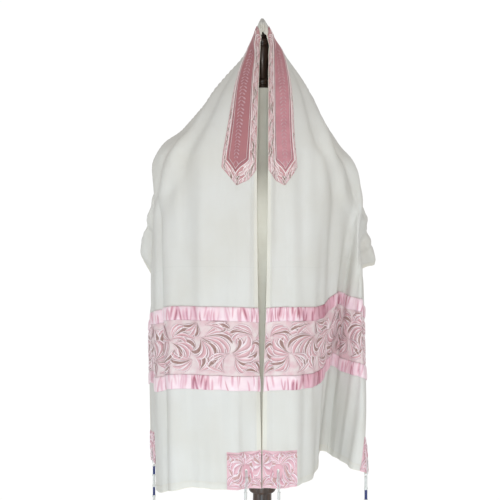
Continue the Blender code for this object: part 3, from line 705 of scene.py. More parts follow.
def shell(name, u, t, outer, inner, holes=(), round_below=50.0, tone=None):
    """A closed wall over the shawl between two lifts, open through the cells in holes."""
    rows, columns = u.shape
    outer, inner = np.broadcast_to(outer, u.shape), np.broadcast_to(inner, u.shape)
    points = np.concatenate([on_cloth(u, t, lift).reshape(-1, 3) for lift in (outer, inner)])
    place = np.tile(np.stack([t.ravel(), u.ravel()], axis=1), (2, 1))
    count = rows * columns
    faces, rim = [], set()
    for i in range(rows - 1):
        for j in range(columns - 1):
            if (i, j) in holes:
                continue
            a, b = i * columns + j, (i + 1) * columns + j
            face = (a, b, b + 1, a + 1)
            faces += [face, tuple(count + v for v in reversed(face))]
            for here, there in zip(face, (*face[1:], face[0])):
                if (there, here) in rim:
                    rim.discard((there, here))
                else:
                    rim.add((here, there))
    faces += [(b, a, count + a, count + b) for a, b in sorted(rim)]
    used = sorted({v for face in faces for v in face})
    index = {v: k for k, v in enumerate(used)}
    faces = [tuple(index[v] for v in face) for face in faces]
    tones = None if tone is None else np.tile(tone.ravel(), 2)[used]
    return new_piece(name, points[used], faces, place[used], tones, round_below)


EYELETS = [
    (end * (HALF - EYELET_IN), t) for end in (-1, 1) for t in (EYELET_IN, WIDTH - EYELET_IN)
]


def hole_cells(us, ts):
    """The grid cells inside the corner eyelets."""
    cells = set()
    for u, t in EYELETS:
        rows = [i for i in range(len(us) - 1) if abs((us[i] + us[i + 1]) / 2 - u) < EYELET / 2]
        columns = [j for j in range(len(ts) - 1) if abs((ts[j] + ts[j + 1]) / 2 - t) < EYELET / 2]
        cells |= {(i, j) for i in rows for j in columns}
    return cells


def hem_height(u, t):
    """How much thicker the turned hem makes the cloth's outer side."""
    inside = np.minimum(np.minimum(t, WIDTH - t), HALF - np.abs(u))
    return HEM_RAISE * np.clip((HEM_WIDTH - inside) / 0.0010, 0.0, 1.0)


def surface(u, t):
    """How far the cloth's outer side lies from its middle."""
    return CLOTH / 2 + hem_height(u, t)


def make_shawl():
    """The shawl's own cloth, thicker along its turned hems and open at its four eyelets."""
    us = sorted(set(FINE_ROWS) | {-(HALF - HEM_WIDTH - 0.001), HALF - HEM_WIDTH - 0.001})
    ts = sorted(set(FINE_COLUMNS) | {HEM_WIDTH + 0.001, WIDTH - HEM_WIDTH - 0.001})
    u, t = np.meshgrid(us, ts, indexing="ij")
    cloth = shell("shawl", u, t, surface(u, t), -CLOTH / 2, hole_cells(us, ts), 60.0)
    return standing_for(cloth, "shawl_cloth")


# ---- ribbons, bands and patches ----

def make_ribbon(name, end, low, high, turn):
    """A satin ribbon across one end of the shawl, drawn up into sharp, uneven puckers."""
    us = end * np.linspace(low + SEAM / 2, high - SEAM / 2, RIBBON_ROWS)
    ts = np.linspace(SEAM, WIDTH - SEAM, RIBBON_COLUMNS)
    u, t = np.meshgrid(np.sort(us), ts, indexing="ij")
    across = (np.abs(u) - (low + high) / 2) / ((high - low) / 2)
    dice = random.Random(name)
    groove = np.zeros_like(t)
    at = 0.0
    while at < WIDTH:
        at += dice.uniform(0.0022, 0.0050) if dice.random() < 0.5 else dice.uniform(0.005, 0.015)
        width, deep = dice.uniform(0.0009, 0.0026), dice.uniform(0.35, 1.0)
        slant, bow = dice.uniform(-0.003, 0.003), dice.uniform(-0.0015, 0.0015)
        reach = dice.uniform(-0.9, 0.9)
        fade = np.exp(-(((across - reach) / 1.1) ** 4))
        line = at + slant * across + bow * across**2
        groove = np.maximum(groove, deep * fade * bell(t - line, width))
    broad = 0.5 + 0.5 * np.sin(21 * t + turn) * np.sin(9 * t + 2.1 * turn)
    clusters = np.clip(0.5 + 0.9 * np.sin(74 * t + 3 * turn) * np.sin(31 * t + turn), 0.0, 1.0)
    groove *= 0.42 + 0.58 * clusters
    swell = 0.5 + 0.28 * np.sin(PUCKERS * math.tau * t / WIDTH + turn) + 0.22 * np.sin(151 * t + 2 * turn)
    puff = SATIN_PUFF + (0.0010 * swell + 0.0014 * (1 - groove)) * (1 - 0.75 * across**4)
    under = surface(u, t) + SEAM + 0.0002
    # The tone paints shade in the grooves of the puckers and a highlight where they swell; the broad deeper
    # pink stretches are the ribbon's own tone.
    tone = np.clip(0.88 - 1.15 * groove + 0.22 * (swell - 0.5) - 0.60 * broad**3, 0.0, 1.0)
    inner = under + 0.7 * (puff - SATIN_PUFF)
    outer = under + SATIN_THICK + puff
    ribbon = shell(f"satin_{name}", u, t, outer, inner, round_below=80.0, tone=tone)
    return standing_for(ribbon, f"ribbon_{name}")


def make_ground(name, node, us, ts, holes=()):
    """A flat piece of sheer cloth sewn on the shawl."""
    u, t = np.meshgrid(us, ts, indexing="ij")
    under = surface(u, t) + SEAM
    return standing_for(shell(name, u, t, under + GROUND_THICK, under, holes), node)


# ---- embroidery ----

# Palm fans of the bands, in one repeat of the pattern, in mm and degrees:
# root along the band, root up the band, heading, length, bend, spread, fronds, half width, first tone
BAND_REPEAT = 114.25
BAND_FANS = [
    (110, 76, 166, 68, 74, 15, 6, 4.6, 0),
    (109, 72, -118, 50, 100, 20, 4, 4.4, 2),
    (100, 104, 176, 44, 40, 14, 3, 4.4, 1),
    (52, 46, 184, 54, -82, -18, 5, 4.8, 1),
    (53, 42, -124, 46, -62, -19, 5, 4.4, 0),
    (57, 44, -24, 50, -36, -16, 3, 5.0, 1),
    (16, 80, 34, 46, -70, -18, 5, 4.2, 0),
    (70, 6, 34, 46, 50, 17, 4, 4.2, 1),
    (2, 4, 66, 34, -46, -20, 4, 3.8, 2),
    (112, 8, 128, 36, -60, -18, 4, 4.2, 0),
    (60, 106, -40, 30, 60, 22, 3, 4.2, 2),
]
# Palm fans of a corner patch
PATCH_FANS = [
    (36, 34, 142, 36, 80, 20, 5, 4.0, 2),
    (34, 36, 44, 34, -80, -22, 5, 4.0, 0),
    (36, 36, -96, 32, 65, 24, 4, 3.8, 2),
    (3, 65, -48, 30, -60, -20, 4, 3.8, 0),
    (67, 64, 216, 30, 60, 20, 4, 3.8, 2),
    (67, 3, 118, 32, 60, 18, 4, 3.8, 0),
    (2, 4, 54, 28, -60, -18, 4, 3.6, 2),
    (34, 67, -90, 22, 40, 26, 3, 3.6, 1),
    (1, 34, 0, 22, 40, 26, 3, 3.6, 0),
    (67, 34, 180, 22, -40, -26, 3, 3.6, 2),
    (34, 1, 90, 20, -40, -26, 3, 3.4, 0),
]
FROND_STEPS = 14
FROND_BROADER = 1.32  # the stitching spreads a frond beyond the half width above
# Places across a frond, from edge to edge, and how high the thread lies there
FROND_ACROSS = np.array([-1.0, -0.84, -0.56, 0.0, 0.56, 0.84, 1.0])
FROND_HEIGHT = np.array([0.0, 1.0, 0.35, 0.62, 0.35, 1.0, 0.0])
THREAD_RISE = 0.0012
FAN_OVER, FROND_OVER = 0.00045, 0.00007  # how far one fan, and one frond of it, lies over the last
NEXT_OVER = 0.00012  # how far each next frond of the neckband lies over the last
# The tone that a material turns into a thread's colour
# The groove cord's tone, which the floss turns into painted shade
TONE_GROOVE_SHADE = -1.0
TONE_PINK = 0.2
TONE_TAUPE = 0.7
TONE_SILVER = 1.0
TONE_PALE = 2.0
TONE_VARIES = 0.14  # from one frond to the next


def varied(tone, dice):
    """A tone that is a little different from one frond to the next."""
    return tone + dice.uniform(-TONE_VARIES, TONE_VARIES)


def frond(p, q, heading, length, bend, wide, tone, over=0.0):
    """A curved, pointed frond as its spine, half widths, tone, and how far it lies over the others."""
    heading, bend = math.radians(heading), math.radians(bend)
    spine = [(p, q)]
    for step in range(FROND_STEPS):
        s = (step + 0.5) / FROND_STEPS
        turn = heading + bend * s * s
        p += math.cos(turn) * length / FROND_STEPS
        q += math.sin(turn) * length / FROND_STEPS
        spine.append((p, q))
    s = np.linspace(0, 1, FROND_STEPS + 1)
    half = np.maximum(wide * np.sin(np.pi * s**1.8) ** 0.62, 0.6 * (1 - s)) + 0.03
    return np.array(spine), half, tone, over


def palm_fan(row, dice, order):
    """The fronds of one fan, nested arcs that spring from almost one root."""
    p, q, heading, length, bend, spread_by, count, wide, first_tone = row
    fronds = []
    for k in range(count):
        off = k - (count - 1) / 2
        grown = 0.70 + 0.30 * math.sin(math.pi * (k + 0.7) / (count + 0.2))
        size = length * grown * dice.uniform(0.92, 1.08)
        turn = heading + spread_by * off + dice.uniform(-3, 3)
        half = FROND_BROADER * wide * dice.uniform(0.85, 1.12)
        tone = varied(TONE_TAUPE if (k + first_tone) % 3 == 2 else TONE_PINK, dice)
        over = FAN_OVER * (order % 3) + FROND_OVER * k
        fronds.append(frond(p + off, q + 0.6 * off, turn, size, bend * (1.10 + 0.12 * k), half, tone, over))
    return fronds


def band_fronds(seed):
    """The fans repeated along a band, every other repeat turned over."""
    dice = random.Random(seed)
    fronds = []
    for repeat in range(-1, round(1000 * WIDTH / BAND_REPEAT) + 1):
        for order, (p, q, heading, length, bend, spread_by, *rest) in enumerate(BAND_FANS):
            p += repeat * BAND_REPEAT + dice.uniform(-2, 2)
            q += dice.uniform(-2, 2)
            heading += dice.uniform(-7, 7)
            if repeat % 2:
                q, heading, bend, spread_by = 1000 * BAND_WIDTH - q, -heading, -bend, -spread_by
            fronds += palm_fan((p, q, heading, length, bend, spread_by, *rest), dice, order)
    return fronds


def strip_faces(rows, width):
    """Faces of a raised strip of rows of points, closed underneath and at both ends."""
    faces = []
    for i in range(rows - 1):
        a = i * width
        faces += [(a + j, a + j + width, a + j + width + 1, a + j + 1) for j in range(width - 1)]
        faces.append((a, a + width - 1, a + 2 * width - 1, a + width))
    last = (rows - 1) * width
    return [*faces, tuple(range(width)), tuple(reversed(range(last, last + width)))]


def embroider(name, slot, fronds, place, box, rise=THREAD_RISE):
    """Raised satin stitch over a piece: place turns (p, q) in mm into (u, t), lift."""
    low_p, low_q, high_p, high_q = box
    stitches = Bundle()
    for spine, half, tone, over in fronds:
        ahead = np.gradient(spine, axis=0)
        ahead /= np.linalg.norm(ahead, axis=1, keepdims=True)
        aside = np.stack([-ahead[:, 1], ahead[:, 0]], axis=1)
        reach = half[:, None, None] * FROND_ACROSS[None, :, None]
        flat = spine[:, None, :] + aside[:, None, :] * reach
        if flat[..., 0].max() < low_p or flat[..., 0].min() > high_p:
            continue
        u, t, under = place(np.clip(flat[..., 0], low_p, high_p), np.clip(flat[..., 1], low_q, high_q))
        thin = np.clip(half / (0.5 * half.max()), 0.25, 1.0)
        raised = under + rise * thin[:, None] * FROND_HEIGHT[None, :] + over + 0.00004
        uvs = [(a, v) for a in lengths_along(spine) / 1000 for v in FROND_ACROSS]
        top = on_cloth(u, t, raised).reshape(-1, 3)
        stitches.add(top, strip_faces(len(spine), len(FROND_ACROSS)), uvs, tone)
    return stitches.piece(name, slot, 60.0)


def make_bands():
    """The puckered ribbons of both ends and the embroidered bands between them."""
    pieces = []
    for end, word in SIDES:
        pieces.append(make_ribbon(f"upper_{word}", end, RIBBON_HIGH + RIBBON_DRAWN_IN, BAND_HIGH, 0.7 + end))
        pieces.append(make_ribbon(f"lower_{word}", end, BAND_LOW, RIBBON_LOW - RIBBON_DRAWN_IN, 2.9 - end))
        us = np.sort(end * np.linspace(BAND_HIGH + SEAM / 2, BAND_LOW - SEAM / 2, BAND_ROWS))
        ts = np.linspace(RAW_EDGE, WIDTH - RAW_EDGE, BAND_COLUMNS)
        pieces.append(make_ground(f"organza_{word}", f"band_{word}", us, ts))

        def on_band(p, q):
            u, t = end * (BAND_LOW - q / 1000), p / 1000
            return u, t, surface(u, t) + SEAM + GROUND_THICK

        box = (1.5, 1.2, 1000 * WIDTH - 1.5, 1000 * BAND_WIDTH - 1.2)
        fronds = band_fronds(7 + end)
        pieces.append(embroider(f"palm_fans_{word}", "embroidered_band", fronds, on_band, box))
    return pieces


def beside_eyelet(spine, half, tone, over):
    """The part of a patch's frond that lies outside the eyelet's stitching, if enough is left of it."""
    outside = np.hypot(*(spine - 1000 * EYELET_IN).T) > 6.2 + 0.25 * half
    runs = np.split(np.arange(len(spine)), np.flatnonzero(np.diff(outside)) + 1)
    kept = max((run for run in runs if outside[run[0]]), key=len, default=[])
    return (spine[kept], half[kept], tone, over) if len(kept) > 4 else None


def make_patches():
    """The squares that strengthen the four corners, each with a stitched eyelet."""
    pieces = []
    side = 1000 * PATCH_SIDE
    box = (1.0, 1.0, side - 0.5, side - 0.5)
    for end, word in SIDES:
        us = spread([HALF - PATCH_SIDE, *eyelet_lines(HALF, -1), HALF - RAW_EDGE], PATCH_STEP)
        us = sorted(end * u for u in us)
        for place, from_edge, edge in (("front", 1, 0.0), ("back", -1, WIDTH)):
            low, high = sorted([edge + from_edge * RAW_EDGE, edge + from_edge * PATCH_SIDE])
            ts = spread([low, *eyelet_lines(edge, from_edge), high], PATCH_STEP)
            where = f"{word}_{place}"
            node = f"corner_{where}"
            holes = hole_cells(us, ts)
            pieces.append(make_ground(f"patch_{where}", node, us, ts, holes))

            def on_patch(p, q):
                u = end * (HALF - q / 1000)
                t = edge + from_edge * p / 1000
                return u, t, surface(u, t) + SEAM + GROUND_THICK

            dice = random.Random(node)
            fronds = []
            for order, row in enumerate(PATCH_FANS):
                fronds += palm_fan(row, dice, order)
            clear = [part for part in (beside_eyelet(*whole) for whole in fronds) if part]
            pieces.append(embroider(f"patch_fans_{where}", "corner_patch", clear, on_patch, box))
            pieces.append(make_eyelet_ring(f"eyelet_{where}", end, edge, from_edge))
    return pieces


def make_eyelet_ring(name, end, edge, from_edge):
    """Buttonhole stitch round a corner eyelet."""
    middle_u, middle_t = end * (HALF - EYELET_IN), edge + from_edge * EYELET_IN
    rings, sides = 36, 8
    around = np.linspace(0, math.tau, rings, endpoint=False)
    turn = np.linspace(0, math.tau, sides, endpoint=False)
    stitch = 1 + 0.10 * np.cos(RING_STITCHES * around)[:, None]
    radius = RING_RADIUS + RING_WIDE * np.cos(turn)[None, :] * stitch
    u = middle_u + radius * np.cos(around)[:, None]
    t = middle_t + radius * np.sin(around)[:, None]
    lift = CLOTH / 2 + HEM_RAISE + 0.0008 + RING_HIGH * np.sin(turn)[None, :] * stitch
    faces = []
    for here in range(rings):
        a, b = here * sides, (here + 1) % rings * sides
        for k in range(sides):
            after = (k + 1) % sides
            faces.append((a + k, b + k, b + after, a + after))
    uvs = [(RING_FLOSS * a, 0.0) for a in around for _ in range(sides)]
    ring = Bundle()
    ring.add(on_cloth(u, t, lift).reshape(-1, 3), faces, uvs, TONE_PINK)
    return ring.piece(name, "corner_patch")


# ---- the neckband ----

STRIP_LOW, STRIP_HIGH = 0.0218, 0.0630
STRIP_MIDDLE = (STRIP_LOW + STRIP_HIGH) / 2
STRIP_LIFT, STRIP_THICK = 0.0011, 0.0006
BROCADE_THICK = 0.0005
BORDER_LIFT = 0.0018
NECKBAND_STEP = 0.0045
NECKBAND_LOW = 0.0024  # a line of the shawl's own edge shows beside the neckband
# The pointed ends of the ground and of the strip: low edge, high edge, where the tip stands between them,
# length of the point, how far the point is drawn back
GROUND_END = (0.0, ATARAH_WIDTH, 0.040, ATARAH_POINT, 0.0)
STRIP_END = (STRIP_LOW, STRIP_HIGH, STRIP_MIDDLE, 0.020, 0.010)
# The rows of fronds inside a pointed end, in mm: how far back, how far in, length, how many
TIP_ROWS = ((7.0, 4.0, 15, 6), (15.0, 7.0, 13, 5))
LEAF_STEP = 7.0
# The cords round the strip: piece, how far in, radius, tone
BORDERS = (
    ("neckband_piping", 0.0004, 0.0010, TONE_PALE),
    # The groove cord is dark rose, as painted shade of a stitched groove beside the pale line.
    ("neckband_groove_shade", 0.0042, 0.0006, TONE_GROOVE_SHADE),
    ("neckband_line", 0.0054, 0.00035, TONE_PALE),
)


def leaned(u, t):
    """Places across the neckband, which is slimmer near the finial and broadens towards its ends."""
    return t * (0.55 + 0.47 * np.minimum(np.abs(u) / ATARAH_HALF, 1.0))


def neckband_tip(t, shape, inset=0.0):
    """How far a pointed end reaches past the straight part, across the neckband."""
    low, high, tip, point, back = shape
    slope = point / np.where(t < tip, tip - low, high - tip)
    return point - slope * np.abs(t - tip) - back - inset * np.hypot(1.0, slope)


def pointed(u, t, shape, inset=0.0):
    """Lines along the neckband, drawn out towards their pointed ends."""
    near_end = np.clip((np.abs(u) / ATARAH_HALF - 0.86) / 0.14, 0.0, 1.0)
    return u + np.sign(u) * near_end * neckband_tip(t, shape, inset)


def neckband_layer(name, node, ts, shape, lift, thick):
    """One layer of the neckband, pointed at both ends and left open over the gathers."""
    us = np.array(both_ways(spread([0.0, GATHER_U, ATARAH_HALF], NECKBAND_STEP)))
    u, t = np.meshgrid(us, ts, indexing="ij")
    u, t = pointed(u, t, shape), leaned(u, t)
    bare = {
        (i, j)
        for i in range(u.shape[0] - 1)
        for j in range(u.shape[1] - 1)
        if abs((u[i, j] + u[i + 1, j]) / 2) < GATHER_U and (t[i, j] + t[i, j + 1]) / 2 < GATHER_T
    }
    under = surface(u, t) + lift
    return standing_for(shell(name, u, t, under + thick, under, bare), node)


def border_lines(inset, lift):
    """The (u, t, lift) lines that run round the strip at an inset, down each side and round its points."""
    lines = []
    for end in (-1, 1):
        for t_line, start in ((STRIP_LOW + inset, GATHER_U + 0.004), (STRIP_HIGH - inset, 0.0)):
            u = np.linspace(start, ATARAH_HALF, 60)
            u = pointed(u, np.full_like(u, t_line), STRIP_END, inset)
            to_tip = np.linspace(t_line, STRIP_MIDDLE, 12)[1:]
            t = np.concatenate([np.full(60, t_line), to_tip])
            u = np.concatenate([u, ATARAH_HALF + neckband_tip(to_tip, STRIP_END, inset)])
            t = leaned(u, t)
            lines.append((end * u, t, surface(end * u, t) + lift))
    return lines


def cords_on_cloth(name, slot, lines, radius, tone):
    """Thin cords laid over the shawl, each along its own (u, t, lift) line."""
    cords = Bundle()
    for line in lines:
        cords.cord(on_cloth(*line), radius, 6, tone)
    return cords.piece(name, slot)


def neckband_fronds(low, high, dice):
    """Curled fronds that fill the ground beside the strip, larger where it is wider."""
    fronds = []
    width = high - low
    wide, length = 1.4 + 0.13 * width, 7.5 + 0.85 * width
    for end in (-1, 1):
        along = 25.0 if low < 10 else 2.0
        turn_over = 1
        while along < 1000 * ATARAH_HALF + 2:
            root = (low + high) / 2 - turn_over * width * 0.40
            heading = turn_over * dice.uniform(48, 66)
            for k in range(3):
                tone = TONE_TAUPE if dice.random() < 0.28 else TONE_PINK
                size, bow = length * dice.uniform(0.85, 1.1), -turn_over * dice.uniform(70, 105)
                spring, turn = along + 1.3 * wide * k, heading - 22 * turn_over * k
                curl = frond(spring, root, turn, size, bow, wide, varied(tone, dice), NEXT_OVER * k)
                fronds.append((end, curl))
            along += length * dice.uniform(0.62, 0.76)
            turn_over = -turn_over
    return fronds


def tip_fronds(dice):
    """Fronds side by side down both edges of each pointed end, with a second row inside them."""
    fronds = []
    tip = 1000 * GROUND_END[2]
    for end in (-1, 1):
        for side, half in ((-1, tip), (1, 1000 * ATARAH_WIDTH - tip)):
            slope = math.degrees(math.atan2(half, 1000 * ATARAH_POINT))
            for row, (back, margin, long, count) in enumerate(TIP_ROWS):
                for k in range(count):
                    s = k / count
                    p = 1000 * (ATARAH_HALF + ATARAH_POINT * s) - back
                    q = tip + side * (half - margin) * (1 - s)
                    tone = TONE_TAUPE if (k + row) % 3 == 2 else TONE_PINK
                    heading = -side * slope * dice.uniform(0.55, 0.85)
                    bow = 34 * side * (1 - 2 * row)
                    fronds.append((end, frond(p, q, heading, long, bow, 3.3, varied(tone, dice))))
        for k in range(5):
            tone = TONE_TAUPE if k == 3 else TONE_PINK
            p, q = 1000 * ATARAH_HALF - 9.0 + 3.2 * k, 15.0 + 1.6 * k
            inner = frond(p, q, 76 - 15 * k, 19, -48, 3.0, varied(tone, dice), NEXT_OVER * k)
            fronds.append((end, inner))
    return fronds


def strip_leaves():
    """Small pointed leaves in pairs down the middle of the strip, smaller every third pair."""
    leaves = []
    for end in (-1, 1):
        for k, along in enumerate(np.arange(60.0, 1000 * ATARAH_HALF - 4, LEAF_STEP)):
            length = 5.4 if k % 3 == 2 else 8.0
            for side in (-1, 1):
                root = 1000 * STRIP_MIDDLE + 0.5 * side
                leaves.append((end, frond(along, root, 54 * side, length, -40 * side, 1.15, TONE_SILVER)))
    return leaves


def make_neckband():
    """The neckband: its ground and strip, the cords round the strip, and the stitched fronds and leaves."""
    ground_ts = spread([NECKBAND_LOW, GATHER_T, ATARAH_WIDTH], 0.0033)
    strip_ts = spread([STRIP_LOW, GATHER_T, STRIP_HIGH], 0.0030)
    pieces = []
    for name, node, slot, ts, shape, lift, thick in (
        ("neckband", "atarah_ground", "neckband_ground", ground_ts, GROUND_END, SEAM, BROCADE_THICK),
        ("neckband_middle", "atarah_strip", "neckband_strip", strip_ts, STRIP_END, STRIP_LIFT, STRIP_THICK),
    ):
        pieces.append(neckband_layer(name, node, ts, shape, lift, thick))
    for name, inset, radius, tone in BORDERS:
        pieces.append(cords_on_cloth(name, "neckband_strip", border_lines(inset, BORDER_LIFT), radius, tone))
    dice = random.Random(5)
    beside = neckband_fronds(2.8, 21.6, dice) + neckband_fronds(63.2, 67.4, dice) + tip_fronds(dice)
    for word, slot, lift, rise, box, fronds in (
        ("fronds", "neckband_ground", 0.0008, 0.0008, (0.0, 2.8, 329.0, 67.2), beside),
        ("motif", "neckband_strip", 0.0017, 0.0005, (0.0, 24.0, 320.0, 62.0), strip_leaves()),
    ):
        for end, side in SIDES:
            def on_neckband(p, q):
                reach = ATARAH_HALF + neckband_tip(q / 1000, GROUND_END) - 0.0008
                u = end * np.minimum(p / 1000, reach)
                t = leaned(u, q / 1000)
                return u, t, surface(u, t) + lift

            mine = [row for at, row in fronds if at == end]
            pieces.append(embroider(f"neckband_{word}_{side}", slot, mine, on_neckband, box, rise))
    return pieces


# ---- the corner fringes ----

def fringe_line(u, t, over, under, off):
    """One cord of the loop: up the front from the hem, through the eyelet, and down the back."""
    toward_hem = math.copysign(1.0, u)
    rows = [(EYELET_IN - 0.001, over), (0.020, over), (0.010, over), (0.0035, over)]
    rows += [(0.0005, 0.5 * over), (0.0, 0.0), (0.0005, 0.5 * under)]
    rows += [(0.0035, under), (0.010, under), (0.020, under), (EYELET_IN - 0.001, under)]
    return [on_cloth(u + toward_hem * inward, t + off, lift) for inward, lift in rows]


def smoothed(path, count):
    """A path of more points, on a smooth curve through the given ones."""
    path = np.asarray(path, float)
    at = lengths_along(path)
    return curve_through(path[:, None, :], at, np.linspace(0, at[-1], count))[:, 0, :]


def wound_length(top, bottom, blue_sections):
    """The wound part: cord round cord, drawn in by a double knot at each end and between the windings."""
    rings, sides = 260, 14
    points, uvs, tones = [], [], []
    for i in range(rings):
        s = i / (rings - 1)
        z = bottom + WRAP_LENGTH * s
        from_knot = abs((s * (KNOTS - 1) + 0.5) % 1.0 - 0.5) * WRAP_LENGTH / (KNOTS - 1)
        knot = math.exp(-((from_knot / 0.0022) ** 2))
        base = WRAP_RADIUS - 0.0003 + (KNOT_RADIUS - WRAP_RADIUS) * knot
        base *= math.sqrt(max(1 - abs(2 * s - 1) ** 60, 0.12))
        section = min(int((1 - s) * (KNOTS - 1)), KNOTS - 2)
        blue = section in blue_sections and knot < 0.25
        for k in range(sides):
            turn = math.tau * k / sides
            ridge = WINDING_RISE * math.cos(math.tau * z / WINDING_PITCH - turn) * (1 - 0.7 * knot)
            lumpy = 0.0006 * knot * math.cos(3 * turn + 900 * z)
            radius = base + ridge + lumpy
            points.append((top[0] + radius * math.cos(turn), top[1] + radius * math.sin(turn), z))
            uvs.append((z, k / sides))
            tones.append(BLUE_CORD if blue else WHITE_CORD)
    return points, tube_faces(rings, sides), uvs, tones


def loose_string(k, top, bottom, t):
    """The path of one of the strings that spread below the wound part."""
    turn = math.tau * k / STRANDS
    root = STRAND_ROOTS[k % 2]
    reach = STRAND_SPREAD + 0.002 * math.sin(2.3 * k + 9 * t)
    length = STRAND_LENGTH * (1 - 0.05 * ((3 * k) % STRANDS) / STRANDS)
    path = []
    for step in range(25):
        s = step / 24
        out = root + (reach - root) * math.sin(math.pi / 2 * s)
        sway = 0.0016 * s * math.sin(9 * s + 1.9 * k)
        path.append((
            top[0] + out * math.cos(turn) - sway * math.sin(turn),
            top[1] + out * math.sin(turn) + sway * math.cos(turn),
            bottom + 0.004 - (length + 0.004) * s,
        ))
    return path


def make_fringe(word, u, t):
    """A tzitzit: a loop of four cords through the eyelet, a wound length, and eight loose strings."""
    over, under = CLOTH / 2 + HEM_RAISE + 0.0028, -(CLOTH / 2 + 0.0016)
    lines = [fringe_line(u, t, over, under, off) for off in (-0.0008, 0.0008)]
    front, back = (lines[0][0] + lines[1][0]) / 2, (lines[0][-1] + lines[1][-1]) / 2
    outward = (front - back) * (1, 1, 0)
    outward *= 0.0015 / np.linalg.norm(outward)
    top = (front + back) / 2 - (0, 0, LOOP_DROP)
    bottom = top[2] - WRAP_LENGTH
    fringe = Bundle()
    fringe.add(*wound_length(top, bottom, (0, 2) if word == "left_back" else (1, 3)))
    drop = np.array([0, 0, -0.007])
    for line in lines:
        aside = (line[0] - front) * 0.6
        first, last = top + outward + aside, top - outward + aside
        path = smoothed([first + drop, first, *line, last, last + drop], 44)
        fringe.cord(path, LOOP_RADIUS, 8, WHITE_CORD)
    for k in range(STRANDS):
        tone = BLUE_CORD if k in (2, 5) else WHITE_CORD
        fringe.cord(loose_string(k, top, bottom, t), STRAND_RADIUS, 7, tone)
    piece = fringe.piece(f"fringe_{word}", "fringe_cord", 60.0)
    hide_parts(f"tzitzit_{word}")
    return piece


def make_fringes():
    """The four fringes, one through each eyelet."""
    pieces = []
    for u, t in EYELETS:
        word = ("left" if u < 0 else "right") + ("_front" if t < WIDTH / 2 else "_back")
        pieces.append(make_fringe(word, u, t))
    return pieces


# ---- the dress form and its stand ----

# The torso and neck: z, half width, front depth, back depth
TORSO = [
    (TORSO_BOTTOM, 0.084, 0.060, 0.070),
    (0.743, 0.098, 0.072, 0.084),
    (0.780, 0.108, 0.080, 0.096),
    (0.840, 0.110, 0.082, 0.098),
    (0.900, 0.106, 0.077, 0.088),
    (0.980, 0.101, 0.070, 0.074),
    (1.060, 0.114, 0.078, 0.082),
    (1.140, 0.140, 0.088, 0.096),
    (1.200, 0.150, 0.092, 0.104),
    (1.250, 0.163, 0.086, 0.102),
    (1.282, 0.175, 0.076, 0.094),
    (1.300, 0.180, 0.066, 0.084),
    (1.312, 0.175, 0.058, 0.074),
    (1.326, 0.160, 0.052, 0.067),
    (1.342, 0.138, 0.048, 0.062),
    (1.360, 0.114, 0.047, 0.060),
    (1.385, 0.090, 0.047, 0.058),
    (1.412, 0.066, 0.047, 0.055),
    (1.440, 0.055, 0.046, 0.053),
    (NECK_TOP, 0.053, 0.046, 0.052),
]
# The turned pieces: radius, z
FINIAL = [
    (0.0240, NECK_TOP + SEAM),
    (0.0250, 1.470),
    (0.0230, 1.477),
    (0.0170, 1.480),
    (0.0200, 1.487),
    (0.0130, 1.493),
    (0.0105, 1.505),
    (0.0140, 1.528),
    (0.0175, 1.548),
    (0.0160, 1.558),
    (0.0110, 1.562),
    (0.0145, 1.567),
    (0.0145, 1.574),
    (0.0100, 1.578),
    (0.0110, 1.588),
    (0.0080, 1.6022),
    (0.0030, 1.6118),
]
POLE = [
    (POLE_RADIUS, 0.052 + SEAM),
    (0.0300, 0.056),
    (0.0300, 0.070),
    (0.0230, 0.078),
    (0.0260, 0.090),
    (POLE_RADIUS, 0.110),
    (POLE_RADIUS, COLLAR_Z - SEAM),
]
COLLAR = [
    (0.0260, COLLAR_Z),
    (0.0283, COLLAR_Z + 0.004),
    (0.0283, COLLAR_Z + 0.014),
    (0.0250, COLLAR_Z + 0.018),
    (0.0200, COLLAR_Z + 0.024),
    (0.0200, TORSO_BOTTOM - 0.012),
    (0.0300, TORSO_BOTTOM - 0.008),
    (0.0300, TORSO_BOTTOM - SEAM),
]
BASE = [
    (BASE_RADIUS - 0.006, 0.000),
    (BASE_RADIUS, 0.004),
    (BASE_RADIUS, 0.016),
    (BASE_RADIUS - 0.008, 0.022),
    (0.110, 0.030),
    (0.060, 0.040),
    (0.045, 0.048),
    (0.040, 0.052),
]


def drawn_up(name, sections, sides):
    """A disc drawn up ring by ring into a closed body: x radius, y radius, y middle and z of each ring."""
    bpy.ops.object.select_all(action="DESELECT")
    bpy.ops.mesh.primitive_circle_add(vertices=sides, radius=1.0, fill_type="NGON", location=(0, 0, 0))
    piece = bpy.context.object
    piece.name = piece.data.name = name
    bpy.ops.object.mode_set(mode="EDIT")
    bpy.ops.mesh.select_all(action="SELECT")
    wide, deep, middle, z = sections[0]
    bpy.ops.transform.resize(value=(wide, deep, 1.0), center_override=(0, 0, 0))
    bpy.ops.transform.translate(value=(0, middle, z))
    for before, after in zip(sections, sections[1:]):
        step = (0, after[2] - before[2], after[3] - before[3])
        bpy.ops.mesh.extrude_region_move(TRANSFORM_OT_translate={"value": step})
        grow = (after[0] / before[0], after[1] / before[1], 1.0)
        bpy.ops.transform.resize(value=grow, center_override=(0, after[2], after[3]))
    bpy.ops.mesh.select_all(action="SELECT")
    bpy.ops.mesh.normals_make_consistent(inside=False)
    bpy.ops.object.mode_set(mode="OBJECT")
    bpy.ops.object.shade_smooth_by_angle(angle=math.radians(38))
    return piece


def make_turned(name, node, profile, sides):
    """A piece turned on a lathe, with its edges rounded over."""
    piece = drawn_up(name, [(radius, radius, 0.0, z) for radius, z in profile], sides)
    rounding = piece.modifiers.new("rounding", "BEVEL")
    rounding.width = 0.0012
    rounding.segments = 3
    rounding.limit_method = "ANGLE"
    rounding.angle_limit = math.radians(24)
    bpy.ops.object.modifier_apply(modifier="rounding")
    bpy.ops.object.shade_smooth_by_angle(angle=math.radians(50))
    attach(piece, "root")
    return standing_for(piece, node)


